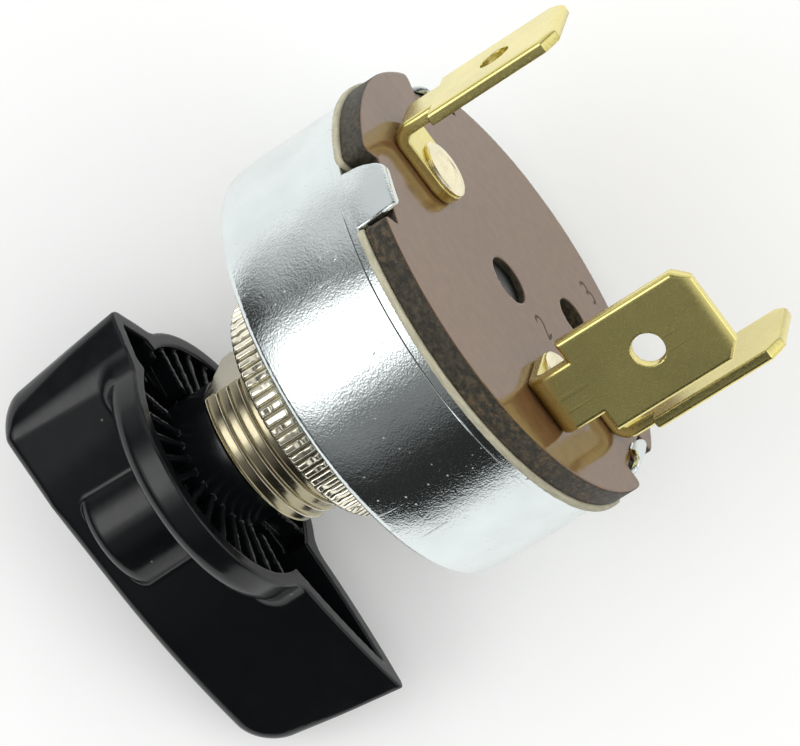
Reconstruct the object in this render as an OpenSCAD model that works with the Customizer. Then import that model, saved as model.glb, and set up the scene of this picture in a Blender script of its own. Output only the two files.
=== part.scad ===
// Panel rotary switch: a drawn steel cup closed by a terminal board with three tabs,
// a threaded bushing with a knurled nut, and a pointer knob on a quarter inch shaft.
// The origin is the bushing's centre on the panel face of the cup. +Z runs along the
// shaft to the tabs, and +X is the way the pointer points.

/* [Cup] */
// Outside diameter of the steel cup
cup_d = 28.1; // [27:0.1:30]
// Sheet thickness of the cup
cup_wall = 0.75; // [0.5:0.05:0.9]
// Height of the cup's wall from the panel face to the rim
cup_h = 8.86; // [8.4:0.02:10]
// Outside radius of the corner between face and wall
cup_corner = 1.0; // [0.8:0.05:1.6]
// Width of an ear that is folded over the board
ear_w = 4.2; // [3.4:0.1:4.8]
// Reach of an ear over the board, inwards from the cup's wall
ear_reach = 0.9; // [0.7:0.05:1.1]
// Corner radius of an ear's tip
ear_corner = 1.6; // [0.6:0.1:1.6]
// Outside radius of an ear's curl over the board
ear_curl = 1.1; // [0.8:0.05:1.2]
// Thickness of an ear, which is pressed thinner than the cup's wall
ear_t = 0.5; // [0.4:0.05:0.7]
// Direction of the first ear, beside the third tab
ear_1_angle = -2; // [-16:1:4]
// Direction of the second ear
ear_2_angle = -143; // [-150:1:-120]
// Direction of the third ear
ear_3_angle = 138; // [130:1:155]

/* [Terminal board] */
// Overhang of the board past the cup's wall
board_lip = 0.3; // [0:0.05:0.6]
// Thickness of the phenolic board
board_t = 1.55; // [1.2:0.05:2]
// Thickness of the fibre ring under the board
fibre_t = 0.45; // [0.4:0.05:0.8]
// Overhang of the fibre ring past the cup's wall
fibre_lip = 0.5; // [0.3:0.05:0.7]
// Width of the fibre ring, from its inside to its outside
fibre_w = 3.5; // [2.7:0.1:4]
// Width that a board notch has to spare beside an ear, on each side
notch_side = 0.5; // [0.2:0.1:0.8]
// Diameter of the board's centre hole
pilot_hole_d = 3.1; // [2.6:0.1:3.4]

/* [Tabs] */
// Width of a tab's blade
tab_w = 6.35; // [5.5:0.05:6.6]
// Sheet thickness of a tab
tab_t = 0.81; // [0.6:0.01:0.9]
// Height of a blade's shoulders over the board
tab_shoulder = 2.98; // [2.2:0.02:4]
// Length of a blade from its shoulders to its end
tab_len = 9.0; // [7.5:0.05:10]
// Width of the neck and foot of a tab
neck_w = 3.8; // [3.4:0.05:4.2]
// Corner cut at the blade's end
tab_corner = 0.9; // [0.4:0.05:1.2]
// Bevel across the thickness at the blade's end
tab_bevel = 0.25; // [0.1:0.05:0.35]
// Diameter of the blade's hole
tab_hole_d = 2.0; // [1.5:0.05:2.4]
// Distance of the blade's hole from the shoulders
tab_hole_rise = 4.42; // [3:0.02:5]
// Inside radius of the bend between foot and blade
tab_bend = 0.45; // [0.3:0.05:0.8]
// Distance from a rivet's axis to the blade's outer face
foot_len = 4.05; // [3.6:0.05:4.4]

/* [Contact rivets] */
// Radius of the circle that the rivets stand on
rivet_circle = 7.67; // [7.4:0.01:7.9]
// Diameter of a rivet's outer head
rivet_head_d = 3.7; // [3:0.05:3.8]
// Height of a rivet's outer head
rivet_head_h = 0.55; // [0.4:0.05:0.8]
// Diameter of a rivet's shank
rivet_d = 2.5; // [2:0.05:2.8]
// Diameter of a rivet's contact head, inside
contact_d = 3.6; // [3:0.05:4]
// Clearance of a shank in its holes, on the radius
rivet_gap = 0.05; // [0.02:0.01:0.1]

/* [Bushing and nut] */
// Major diameter of the bushing's thread
bushing_d = 11.9; // [11.4:0.05:12.2]
// Length of the thread in front of the cup
bushing_len = 7.9; // [7:0.1:10]
// Distance of the bushing's flat from the axis
bushing_flat = 4.6; // [4.2:0.05:5.2]
// Diameter of the bushing's flange inside the cup
flange_d = 13.6; // [13:0.1:14]
// Thickness of the bushing's flange
flange_t = 0.9; // [0.7:0.05:1]
// Outside diameter of the nut over its knurl
nut_d = 15.2; // [14.4:0.1:17]
// Thickness of the nut
nut_t = 1.85; // [1.5:0.05:2.6]
// Distance of the nut's back from the cup's panel face
nut_back = 2.3; // [1:0.1:3.5]
// Number of teeth in the nut's knurl
knurl_n = 72; // [48:1:90]
// Depth of the knurl
knurl_deep = 0.32; // [0.15:0.01:0.4]
// Chamfer at both ends of the knurl
nut_chamfer = 0.2; // [0.1:0.05:0.4]

/* [Shaft] */
// Diameter of the shaft
shaft_d = 6.35; // [6:0.05:6.4]
// Clearance of the shaft in the bushing, on the radius
shaft_gap = 0.05; // [0.02:0.01:0.1]
// Distance of the knob's flat from the shaft's axis
shaft_flat = 2.4; // [2.2:0.05:2.8]
// Diameter of the shaft's collar
collar_d = 10.4; // [9.6:0.1:11]
// Thickness of the shaft's collar
collar_t = 0.9; // [0.7:0.05:1]
// Width over the two drive flats inside the cup
drive_w = 4.6; // [4.2:0.05:5]
// Thickness of the thrust washer
washer_t = 0.4; // [0.3:0.05:0.5]
// Outside diameter of the thrust washer
washer_d = 12.2; // [11.6:0.1:13]

/* [Detent and contact] */
// Thickness of the index plate
index_t = 0.5; // [0.4:0.05:0.6]
// Gap between the index plate's edge and the liner
index_gap = 0.3; // [0.1:0.05:0.6]
// Angle between two switch positions
step_angle = 45; // [40:1:45]
// Diameter of a detent ball
ball_d = 2.8; // [2.6:0.05:3]
// Radius of the circle that the balls run on
ball_circle = 8.7; // [8.5:0.05:9]
// Diameter of the index plate's detent holes
detent_hole_d = 1.9; // [1.4:0.05:2.2]
// Thickness of the ball carrier
follower_t = 1.3; // [1.1:0.05:1.4]
// Width of the ball carrier's arms
follower_w = 5; // [4.4:0.1:5.2]
// Thickness of the contact carrier
carrier_t = 1.7; // [1.5:0.05:1.8]
// Diameter of the contact carrier
carrier_d = 15; // [14:0.1:16]
// Thickness of the contact plate
contact_t = 0.4; // [0.3:0.05:0.45]
// Reach of the contact plate's arms past the rivets' axes
contact_lap = 1.65; // [1.3:0.05:1.9]
// Wire diameter of the contact spring
wire_d = 0.5; // [0.4:0.02:0.55]
// Middle diameter of the contact spring
coil_d = 8.4; // [8:0.1:8.6]
// Turns of the contact spring
coil_turns = 3; // [2:0.5:3.5]
// Thickness of the fibre liner
liner_t = 0.35; // [0.2:0.05:0.4]

/* [Knob] */
// Height of the knob from its rim to its front
knob_h = 10.1; // [9:0.1:12]
// Length of the pointer from the shaft's axis
pointer_len = 18.1; // [15:0.1:20]
// Length of the tail from the shaft's axis
tail_len = 11.4; // [10.5:0.1:13]
// Half the width of the bar where it runs straight, on the rim
bar_half = 3.1; // [3:0.05:3.8]
// Distance from the shaft's axis to where the pointer starts to narrow
pointer_start = 2; // [0:0.1:4]
// Distance from the shaft's axis to where the tail starts to narrow
tail_start = 3.8; // [2:0.1:5]
// Half the width of the pointer's end
pointer_end = 0.3; // [0.2:0.05:0.6]
// Half the width of the tail's end
tail_end = 0.35; // [0.2:0.05:1]
// Lean of the bar's two ends, in degrees
end_lean = 7; // [3:0.5:10]
// Loss of half width from the rim to the front
bar_draft = 0.3; // [0.1:0.05:0.6]
// Wall thickness of the knob
knob_wall = 1.0; // [0.8:0.05:1.3]
// Diameter of the round skirt
skirt_d = 17.6; // [16:0.1:19]
// Height of the skirt
skirt_h = 2.45; // [1.9:0.05:3]
// Rounding of the skirt's front edge
skirt_round = 0.6; // [0.3:0.05:0.8]
// Diameter of the hub
hub_d = 8.8; // [8.6:0.1:9.6]
// Height of the hub over the knob's rim
hub_rise = 2.05; // [1.2:0.05:3]
// Depth of the hub in front of the rim
hub_deep = 8.5; // [7:0.1:9]
// Rounding of the hub's end
hub_round = 0.9; // [0.5:0.05:1.6]
// Thickness of the hub's closed front
hub_floor = 1.3; // [1:0.05:2]
// Gap between the hub and the bushing's end
hub_gap = 0.35; // [0.2:0.05:0.6]
// Corner radius of the bar's front end at the pointer
pointer_round = 2.4; // [1:0.1:3]
// Corner radius of the bar's front end at the tail
tail_round = 2; // [1:0.1:2.5]
// Number of ribs inside the skirt
rib_n = 30; // [20:1:36]
// Thickness of a rib
rib_t = 0.4; // [0.3:0.05:0.5]
// Depth of the ribs under the rim
rib_drop = 0.3; // [0.1:0.05:0.5]
// Thickness of the spring clip in the knob
clip_t = 0.4; // [0.3:0.05:0.5]

/* [Hidden] */
$fn = 96;

// Small step past a face that a cut leaves by
over = 0.5;
// Clearance between flat faces that slide, and of loose keyed holes
slip = 0.03;
key_gap = 0.06;

ear_angles = [ear_1_angle, ear_2_angle, ear_3_angle];
cup_r = cup_d / 2;
cup_in = cup_r - cup_wall;
cup_inside = max(cup_corner - cup_wall, 0.2);
board_r = cup_r + board_lip;
fibre_r = cup_r + fibre_lip;
fibre_in = fibre_r - fibre_w;
board_z = cup_h + fibre_t;
board_top = board_z + board_t;
ear_in = cup_in - ear_reach;
ear_fold = cup_r - ear_curl;
ear_top = board_top + ear_t;
notch_in = sqrt(ear_fold * ear_fold - ear_w * ear_w / 4) - slip;

// Rivets: direction of each, and the way its tab's blade stands out from it
tabs = [[180, 180], [-step_angle, -90], [0, 0]];
spare_angle = step_angle;
contact_z = cup_h;
contact_reach = rivet_circle + contact_lap;
rivet_top = board_top + tab_t + rivet_head_h;

bushing_r = bushing_d / 2;
shaft_r = shaft_d / 2;
liner_z = cup_wall + cup_inside;
liner_r = cup_in - slip;
index_r = liner_r - liner_t - index_gap;
index_top = cup_wall + index_t;
flange_top = index_top + flange_t;
washer_z = flange_top + slip;
collar_z = washer_z + washer_t + slip;
collar_top = collar_z + collar_t;

ball_r = ball_d / 2;
ball_z = index_top + slip + ball_r;
follower_z = collar_top + slip;
follower_top = follower_z + follower_t;
seat_deep = 0.5;
spring_z = follower_top - seat_deep;
plate_top = contact_z - slip;
plate_z = plate_top - contact_t;
carrier_z = plate_z - carrier_t;
pocket_deep = carrier_t * 0.55;
spring_top = carrier_z + pocket_deep;
stake_r = 0.7;
stake_gap = 0.3;
stake_ring = rivet_circle - contact_d / 2 - stake_gap - stake_r;
stake_h = 0.25;
pilot_r = pilot_hole_d / 2 - shaft_gap;
pilot_z = plate_top - slip;
pilot_top = board_top - 0.4;
stop_t = 0.5;
stop_gap = 0.1;
stop_h = follower_z - index_top + 0.6;

hub_top = -bushing_len - hub_gap;
rim_z = hub_top - hub_rise;
front_z = rim_z - knob_h;
skirt_r = skirt_d / 2;
hub_r = hub_d / 2;
hub_end = rim_z - hub_deep;
bore_end = hub_end + hub_floor;
shaft_end = bore_end + 0.4;
bore_gap = 0.03;

// Points of an arc about c, from angle a to angle b
function arc(c, r, a, b, n = 8) =
    [for (i = [0:n]) c + r * [cos(a + (b - a) * i / n), sin(a + (b - a) * i / n)]];

// Radius of a side curve that is half wide at the middle and end wide at distance len
function side_r(len, half, end) = (len * len + pow(half - end, 2)) / (2 * (half - end));

// Round stock with one flat on the -X side
module flatted(r, flat, h) {
    intersection() {
        cylinder(r = r, h = h);
        translate([-flat, -2 * r, -over])
            cube([4 * r, 4 * r, h + 2 * over]);
    }
}

// Round stock with two flats, which drives what sits on it
module drive(r, w, h) {
    intersection() {
        cylinder(r = r, h = h);
        translate([-2 * r, -w / 2, -over])
            cube([4 * r, w, h + 2 * over]);
    }
}

// Drawn cup with a keyed hole for the bushing and three ears folded over the board
module cup() {
    color("silver")
        difference() {
            rotate_extrude()
                polygon(concat(
                    [[0, 0]],
                    arc([cup_r - cup_corner, cup_corner], cup_corner, -90, 0),
                    arc([ear_fold, ear_top - ear_curl], ear_curl, 0, 90),
                    [[ear_in, ear_top], [ear_in, board_top]],
                    arc([ear_fold, ear_top - ear_curl], ear_curl - ear_t, 90, 0, 5),
                    [[cup_r - ear_t, cup_h], [cup_in, cup_h]],
                    arc([cup_in - cup_inside, cup_wall + cup_inside], cup_inside, 0, -90, 3),
                    [[0, cup_wall]]));
            translate([0, 0, -over])
                flatted(bushing_r + slip, bushing_flat + slip, cup_wall + 2 * over);
            difference() {
                translate([0, 0, cup_h])
                    cylinder(r = cup_r + over, h = board_top);
                for (a = ear_angles)
                    rotate(a)
                        linear_extrude(2 * board_top)
                            tongue();
            }
        }
}

// Plan of an ear's tongue, with round corners at its tip
module tongue() {
    translate([ear_in + ear_corner, -ear_w / 2])
        square([cup_wall + ear_reach, ear_w]);
    translate([ear_in, -ear_w / 2 + ear_corner])
        square([cup_wall + ear_reach, ear_w - 2 * ear_corner]);
    for (s = [-1, 1])
        translate([ear_in + ear_corner, s * (ear_w / 2 - ear_corner)])
            circle(r = ear_corner);
}

// Fibre strip that stands inside the cup's wall
module cup_liner() {
    color("wheat")
        translate([0, 0, liner_z])
            difference() {
                cylinder(r = liner_r, h = cup_h - liner_z - slip);
                translate([0, 0, -over])
                    cylinder(r = liner_r - liner_t, h = cup_h);
            }
}

// Notches in the edge of a disc where the ears rise
module ear_notches(h) {
    for (a = ear_angles)
        rotate(a)
            translate([notch_in, -ear_w / 2 - notch_side, -over])
                cube([board_r, ear_w + 2 * notch_side, h + 2 * over]);
}

module fibre_ring() {
    color("beige")
        translate([0, 0, cup_h])
            difference() {
                cylinder(r = fibre_r, h = fibre_t);
                translate([0, 0, -over])
                    cylinder(r = fibre_in, h = fibre_t + 2 * over);
                ear_notches(fibre_t);
            }
}

// Phenolic board: rivet holes, one spare rivet hole and the shaft's pilot hole
module terminal_board() {
    color("rosybrown")
        translate([0, 0, board_z])
            difference() {
                cylinder(r = board_r, h = board_t);
                ear_notches(board_t);
                translate([0, 0, -over])
                    cylinder(d = pilot_hole_d, h = board_t + 2 * over);
                for (a = concat([for (t = tabs) t[0]], [spare_angle]))
                    rotate(a)
                        translate([rivet_circle, 0, -over])
                            cylinder(d = rivet_d + 2 * rivet_gap, h = board_t + 2 * over);
            }
}

// A tab: foot with a round end about its rivet, bend, neck and drilled blade
module terminal(i) {
    color("darkkhaki")
        rotate(tabs[i][0])
            translate([rivet_circle, 0, board_top])
                rotate(tabs[i][1] - tabs[i][0])
                    tab();
}

module tab() {
    bend_out = tab_bend + tab_t;
    difference() {
        union() {
            cylinder(d = neck_w, h = tab_t);
            translate([0, -neck_w / 2, 0])
                cube([foot_len - bend_out, neck_w, tab_t]);
        }
        translate([0, 0, -over])
            cylinder(d = rivet_d + 2 * rivet_gap, h = tab_t + 2 * over);
    }
    translate([foot_len - bend_out, neck_w / 2, bend_out])
        rotate([90, 90, 0])
            rotate_extrude(angle = 90)
                translate([tab_bend, 0])
                    square([tab_t, neck_w]);
    translate([foot_len - tab_t, -neck_w / 2, bend_out])
        cube([tab_t, neck_w, tab_shoulder - bend_out]);
    translate([foot_len - tab_t, 0, tab_shoulder])
        blade();
}

// Blade in outline, with cut corners, then bevelled through its thickness and drilled
module blade() {
    half = tab_w / 2;
    difference() {
        intersection() {
            rotate([90, 0, 90])
                linear_extrude(tab_t)
                    polygon([[-half, 0], [half, 0], [half, tab_len - tab_corner],
                             [half - tab_corner, tab_len], [tab_corner - half, tab_len],
                             [-half, tab_len - tab_corner]]);
            translate([0, half + over, 0])
                rotate([90, 0, 0])
                    linear_extrude(tab_w + 2 * over)
                        polygon([[0, 0], [tab_t, 0], [tab_t, tab_len - 2 * tab_bevel],
                                 [tab_t - tab_bevel, tab_len], [tab_bevel, tab_len],
                                 [0, tab_len - 2 * tab_bevel]]);
        }
        translate([-over, 0, tab_hole_rise])
            rotate([0, 90, 0])
                cylinder(d = tab_hole_d, h = tab_t + 2 * over);
    }
}

module terminal_1() { terminal(0); }
module terminal_2() { terminal(1); }
module terminal_3() { terminal(2); }

// Headed rivets that hold the tabs: each lower head is a fixed contact
module contact_rivets() {
    head_z = board_top + tab_t;
    head_r = rivet_head_d / 2;
    color("khaki")
        for (t = tabs)
            rotate(t[0])
                translate([rivet_circle, 0, 0])
                    rotate_extrude()
                        polygon([[0, contact_z], [contact_d / 4, contact_z],
                                 [contact_d / 2, contact_z + fibre_t / 2], [contact_d / 2, board_z],
                                 [rivet_d / 2, board_z], [rivet_d / 2, head_z], [head_r, head_z],
                                 [head_r, head_z + rivet_head_h * 0.4],
                                 [head_r * 0.8, head_z + rivet_head_h * 0.85],
                                 [head_r * 0.55, rivet_top], [0, rivet_top - rivet_head_h * 0.15]]);
}

// Bushing: flatted thread, flange that clamps the index plate, and the shaft's bearing
module bushing() {
    color("tan")
        difference() {
            union() {
                translate([0, 0, -bushing_len])
                    flatted(bushing_r, bushing_flat, bushing_len + index_top);
                translate([0, 0, index_top])
                    cylinder(d = flange_d, h = flange_t);
            }
            translate([0, 0, -bushing_len - over])
                cylinder(r = shaft_r + shaft_gap, h = bushing_len + flange_top + 2 * over);
        }
}

// Round nut with a straight knurl between two chamfered ends
module panel_nut() {
    root = nut_d / 2 - knurl_deep;
    step = 360 / knurl_n;
    color("tan")
        translate([0, 0, -nut_back - nut_t])
            difference() {
                union() {
                    cylinder(r = root, h = nut_t);
                    translate([0, 0, nut_chamfer])
                        linear_extrude(nut_t - 2 * nut_chamfer)
                            polygon([for (i = [0:knurl_n - 1], p = [[0, 0], [0.25, 1], [0.65, 1], [0.9, 0]])
                                (root + knurl_deep * p[1]) * [cos((i + p[0]) * step), sin((i + p[0]) * step)]]);
                }
                translate([0, 0, -over])
                    cylinder(r = bushing_r + slip, h = nut_t + 2 * over);
            }
}

// Fixed plate under the bushing's flange, with detent holes and two upright stops
module index_plate() {
    arm_side = follower_w / 2 + stop_gap;
    color("lightsteelblue") {
        translate([0, 0, cup_wall])
            difference() {
                cylinder(r = index_r, h = index_t);
                translate([0, 0, -over])
                    flatted(bushing_r + slip, bushing_flat + slip, index_t + 2 * over);
                for (a = [0:step_angle:2 * step_angle], side = [0, 180])
                    rotate(90 - step_angle + a + side)
                        translate([ball_circle, 0, -over])
                            cylinder(d = detent_hole_d, h = index_t + 2 * over);
            }
        for (s = [-1, 1])
            rotate(90 + s * step_angle)
                translate([ball_circle - ball_r, s < 0 ? -arm_side - stop_t : arm_side, index_top - slip])
                    cube([ball_d, stop_t, stop_h + slip]);
    }
}

module thrust_washer() {
    color("peru")
        translate([0, 0, washer_z])
            difference() {
                cylinder(d = washer_d, h = washer_t);
                translate([0, 0, -over])
                    cylinder(r = shaft_r + 2 * shaft_gap, h = washer_t + 2 * over);
            }
}

// Shaft: flatted end for the knob, bearing, collar, drive flats and pilot
module shaft() {
    flat_len = -bushing_len - hub_gap - shaft_end;
    color("lightgray") {
        translate([0, 0, shaft_end])
            flatted(shaft_r, shaft_flat, flat_len);
        translate([0, 0, shaft_end + flat_len])
            cylinder(r = shaft_r, h = collar_z - shaft_end - flat_len);
        translate([0, 0, collar_z])
            cylinder(d = collar_d, h = collar_t);
        translate([0, 0, collar_top])
            drive(shaft_r, drive_w, pilot_z - collar_top);
        translate([0, 0, pilot_z])
            cylinder(r = pilot_r, h = pilot_top - pilot_z);
    }
}

// Moulded ball carrier: two arms with ball pockets, and a seat for the spring
module ball_carrier() {
    reach = ball_circle + ball_r + 0.6;
    color("ivory")
        difference() {
            translate([0, 0, follower_z])
                union() {
                    cylinder(d = collar_d + 1, h = follower_t);
                    intersection() {
                        cylinder(r = reach, h = follower_t);
                        translate([-follower_w / 2, -2 * reach, 0])
                            cube([follower_w, 4 * reach, follower_t]);
                    }
                }
            translate([0, 0, follower_z - over])
                drive(shaft_r + key_gap, drive_w + 2 * key_gap, follower_t + 2 * over);
            translate([0, 0, spring_z])
                difference() {
                    cylinder(d = coil_d + 2 * wire_d, h = seat_deep + over);
                    translate([0, 0, -over])
                        cylinder(d = coil_d - 2 * wire_d, h = seat_deep + 3 * over);
                }
            for (s = [-1, 1])
                translate([0, s * ball_circle, ball_z])
                    sphere(r = ball_r + slip);
        }
}

module detent_balls() {
    color("gainsboro")
        for (s = [-1, 1])
            translate([0, s * ball_circle, ball_z])
                sphere(r = ball_r);
}

// Coil of round wire, swept along a helix between the two spring seats
module contact_spring() {
    sides = 8;
    per_turn = 20;
    rings = ceil(coil_turns * per_turn);
    wire_r = wire_d / 2;
    low = spring_z + wire_r + slip;
    lift = spring_top - spring_z - wire_d - 2 * slip;
    function ring_point(i, j) =
        let (a = 360 * coil_turns * i / rings, b = 360 * j / sides, r = coil_d / 2 + wire_r * cos(b))
        [r * cos(a), r * sin(a), low + lift * i / rings + wire_r * sin(b)];
    points = [for (i = [0:rings], j = [0:sides - 1]) ring_point(i, j)];
    walls = [for (i = [0:rings - 1], j = [0:sides - 1])
        [i * sides + j, (i + 1) * sides + j, (i + 1) * sides + (j + 1) % sides, i * sides + (j + 1) % sides]];
    ends = [[for (j = [0:sides - 1]) j], [for (j = [sides - 1:-1:0]) rings * sides + j]];
    color("slategray")
        polyhedron(points = points, faces = concat(walls, ends), convexity = 6);
}

// Insulating carrier: spring pocket below, and stakes that hold the contact plate
module contact_carrier() {
    color("saddlebrown") {
        difference() {
            translate([0, 0, carrier_z])
                cylinder(d = carrier_d, h = carrier_t);
            translate([0, 0, carrier_z - over])
                drive(shaft_r + key_gap, drive_w + 2 * key_gap, carrier_t + 2 * over);
            translate([0, 0, carrier_z - over])
                difference() {
                    cylinder(d = coil_d + 2 * wire_d, h = pocket_deep + over);
                    translate([0, 0, -over])
                        cylinder(d = coil_d - 2 * wire_d, h = pocket_deep + 3 * over);
                }
        }
        for (s = [-1, 1])
            translate([0, s * stake_ring, plate_z - slip])
                cylinder(r = stake_r, h = contact_t + stake_h + slip);
    }
}

// Contact plate: a wide arm that stays on the common contact, and a narrow selecting arm
module contact_plate() {
    wide = step_angle + 2 * asin(contact_d / 4 / rivet_circle);
    color("darkgoldenrod")
        translate([0, 0, plate_z])
            linear_extrude(contact_t)
                difference() {
                    union() {
                        circle(d = carrier_d - 1);
                        intersection() {
                            circle(r = contact_reach);
                            translate([0, -contact_d / 2])
                                square([2 * contact_reach, contact_d]);
                        }
                        intersection() {
                            circle(r = contact_reach);
                            polygon([[0, 0], 2 * contact_reach * [-cos(wide), sin(wide)],
                                     [-2 * contact_reach, 0], 2 * contact_reach * [-cos(wide), -sin(wide)]]);
                        }
                    }
                    intersection() {
                        circle(r = shaft_r + key_gap);
                        square([4 * shaft_r, drive_w + 2 * key_gap], center = true);
                    }
                    for (s = [-1, 1])
                        translate([0, s * stake_ring])
                            circle(r = stake_r + slip);
                }
}

// Half width of the bar at height z, inside walls of a given thickness
function bar_at(z, inset) = bar_half - inset - bar_draft * (rim_z - z) / knob_h;

// End of the bar between two side curves, from start towards +X or -X, drafted to the front
module bar_end(dir, start, len, end, inset, z0, z1) {
    r = side_r(len - start, bar_half, end);
    intersection() {
        translate([dir * start, bar_half - r, z0])
            cylinder(r1 = r - bar_half + bar_at(z0, inset), r2 = r - bar_half + bar_at(z1, inset),
                     h = z1 - z0, $fn = 360);
        translate([dir * start, r - bar_half, z0])
            cylinder(r1 = r - bar_half + bar_at(z0, inset), r2 = r - bar_half + bar_at(z1, inset),
                     h = z1 - z0, $fn = 360);
        translate([dir > 0 ? start : -start - 2 * len, -2 * bar_half, z0 - over])
            cube([2 * len, 4 * bar_half, z1 - z0 + 2 * over]);
    }
}

// Bar: a straight drafted stretch across the shaft's axis, then the pointer and the tail
module bar(inset, z0, z1) {
    bar_end(1, pointer_start, pointer_len, pointer_end, inset, z0, z1);
    bar_end(-1, tail_start, tail_len, tail_end, inset, z0, z1);
    translate([-tail_start, 0, 0])
        rotate([90, 0, 90])
            linear_extrude(tail_start + pointer_start)
                polygon([[-bar_at(z0, inset), z0], [bar_at(z0, inset), z0],
                         [bar_at(z1, inset), z1], [-bar_at(z1, inset), z1]]);
}

// Side view of the bar: leaning ends and round front corners
module bar_side() {
    nose = pointer_len - knob_h * tan(end_lean);
    heel = -tail_len + knob_h * tan(end_lean);
    back = tan(45 - end_lean / 2);
    translate([0, 2 * bar_half, 0])
        rotate([90, 0, 0])
            linear_extrude(4 * bar_half)
                polygon(concat(
                    [[-tail_len, rim_z]],
                    arc([heel + tail_round * back + tail_round * tan(end_lean), front_z + tail_round],
                        tail_round, 180 + end_lean, 270),
                    arc([nose - pointer_round * back - pointer_round * tan(end_lean),
                         front_z + pointer_round], pointer_round, 270, 360 - end_lean),
                    [[pointer_len, rim_z]]));
}

// Moulded pointer knob, open to the panel: bar, skirt, ribs and the hub for the shaft
module knob() {
    floor_z = rim_z - skirt_h + knob_wall;
    color([0.06, 0.06, 0.07])
        difference() {
            union() {
                difference() {
                    union() {
                        intersection() {
                            bar(0, front_z, rim_z);
                            bar_side();
                        }
                        rotate_extrude()
                            polygon(concat([[0, rim_z - skirt_h]],
                                arc([skirt_r - skirt_round, rim_z - skirt_h + skirt_round], skirt_round, -90, 0, 5),
                                [[skirt_r, rim_z], [0, rim_z]]));
                    }
                    translate([0, 0, floor_z])
                        cylinder(r = skirt_r - knob_wall, h = skirt_h);
                    knob_hollow();
                }
                rotate_extrude()
                    polygon(concat([[0, hub_end]],
                        arc([hub_r - hub_round, hub_end + hub_round], hub_round, -90, 0, 5),
                        [[hub_r, hub_top], [0, hub_top]]));
                ribs(floor_z);
            }
            translate([0, 0, bore_end])
                flatted(shaft_r + bore_gap, shaft_flat + bore_gap + clip_t, hub_top - bore_end + over);
        }
}

// Hollow inside the bar's walls
module knob_hollow() {
    intersection() {
        bar(knob_wall, front_z + knob_wall, rim_z + over);
        translate([-tail_len + knob_wall, -bar_half, front_z])
            cube([tail_len + pointer_len - 2 * knob_wall, 2 * bar_half, 2 * knob_h]);
    }
}

// Radial ribs between the hub and the skirt
module ribs(floor_z) {
    difference() {
        for (i = [0:rib_n - 1])
            rotate((i + 0.5) * 360 / rib_n)
                translate([hub_r - knob_wall / 2, -rib_t / 2, floor_z - slip])
                    cube([skirt_r - hub_r, rib_t, rim_z - rib_drop - floor_z + slip]);
        knob_hollow();
    }
}

// Leaf that presses on the shaft's flat inside the hub
module knob_clip() {
    clip_w = 2 * sqrt(pow(shaft_r, 2) - pow(shaft_flat + clip_t, 2));
    color("dimgray")
        translate([-shaft_flat - clip_t - bore_gap / 2, -clip_w / 2, bore_end + over])
            cube([clip_t - bore_gap / 2, clip_w, hub_top - bore_end - 2 * over]);
}

cup();
cup_liner();
fibre_ring();
terminal_board();
terminal_1();
terminal_2();
terminal_3();
contact_rivets();
bushing();
panel_nut();
index_plate();
thrust_washer();
shaft();
ball_carrier();
detent_balls();
contact_spring();
contact_carrier();
contact_plate();
knob();
knob_clip();
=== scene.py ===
import math

import bmesh
import bpy
import numpy as np
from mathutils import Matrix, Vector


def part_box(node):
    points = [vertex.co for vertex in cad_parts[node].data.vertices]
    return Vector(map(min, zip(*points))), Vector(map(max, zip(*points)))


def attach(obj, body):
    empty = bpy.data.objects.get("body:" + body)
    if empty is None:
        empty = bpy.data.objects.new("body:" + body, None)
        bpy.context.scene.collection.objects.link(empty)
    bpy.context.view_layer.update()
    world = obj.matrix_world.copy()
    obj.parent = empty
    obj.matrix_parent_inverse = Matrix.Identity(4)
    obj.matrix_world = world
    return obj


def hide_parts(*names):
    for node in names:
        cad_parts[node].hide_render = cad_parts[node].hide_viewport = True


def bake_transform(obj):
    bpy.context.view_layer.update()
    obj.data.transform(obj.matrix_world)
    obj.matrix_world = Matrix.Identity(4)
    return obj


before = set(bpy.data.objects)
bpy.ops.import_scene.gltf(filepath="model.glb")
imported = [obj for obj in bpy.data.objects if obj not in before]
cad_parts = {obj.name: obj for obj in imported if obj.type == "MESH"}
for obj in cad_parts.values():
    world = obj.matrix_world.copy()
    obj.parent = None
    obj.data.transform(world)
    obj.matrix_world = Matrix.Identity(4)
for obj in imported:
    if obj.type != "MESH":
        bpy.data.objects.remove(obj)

import openvdb
from bpy.props import FloatProperty, FloatVectorProperty, PointerProperty
from mathutils import Matrix, Vector

bl_info = {
    "name": "Panel rotary switch",
    "version": (1, 0, 0),
    "blender": (4, 5, 0),
    "location": "View3D > Sidebar > Switch",
    "description": "Builds the outer pieces and the finishes of a panel rotary switch around its solids",
    "category": "Object",
}

MM = 0.001
MICRON = 1e-6
WELD = 0.1 * MICRON
QUARTER = math.pi / 2
FULL = 2 * math.pi
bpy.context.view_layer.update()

# Smallest cosine and smallest length that something is divided by
LEAST_COSINE = 1e-6
LEAST_LENGTH = 1e-12

# Angles of the ears, of where the line below the rim comes and goes, of the rivets and of the tabs'
# faces, in degrees about the shaft
EAR_ANGLES = (-2, -143, 138)
LINE_ANGLES = (-146, -134, -92, -70)
TAB_ANGLES = {"terminal_1": (180, 180), "terminal_2": (-45, -90), "terminal_3": (0, 0)}
SPARE_ANGLE = 45
TEETH = 72
RIBS = 30

# Steps round the cup, round its corners, round a rivet and its corners, round a line of ink, along half of
# the spring and round its wire
CUP_STEPS, CUP_CORNER = 360, 9
RIVET_STEPS, RIVET_CORNER = 72, 6
INK_STEPS = 12
COIL_ROWS, WIRE_STEPS = 160, 16

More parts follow.
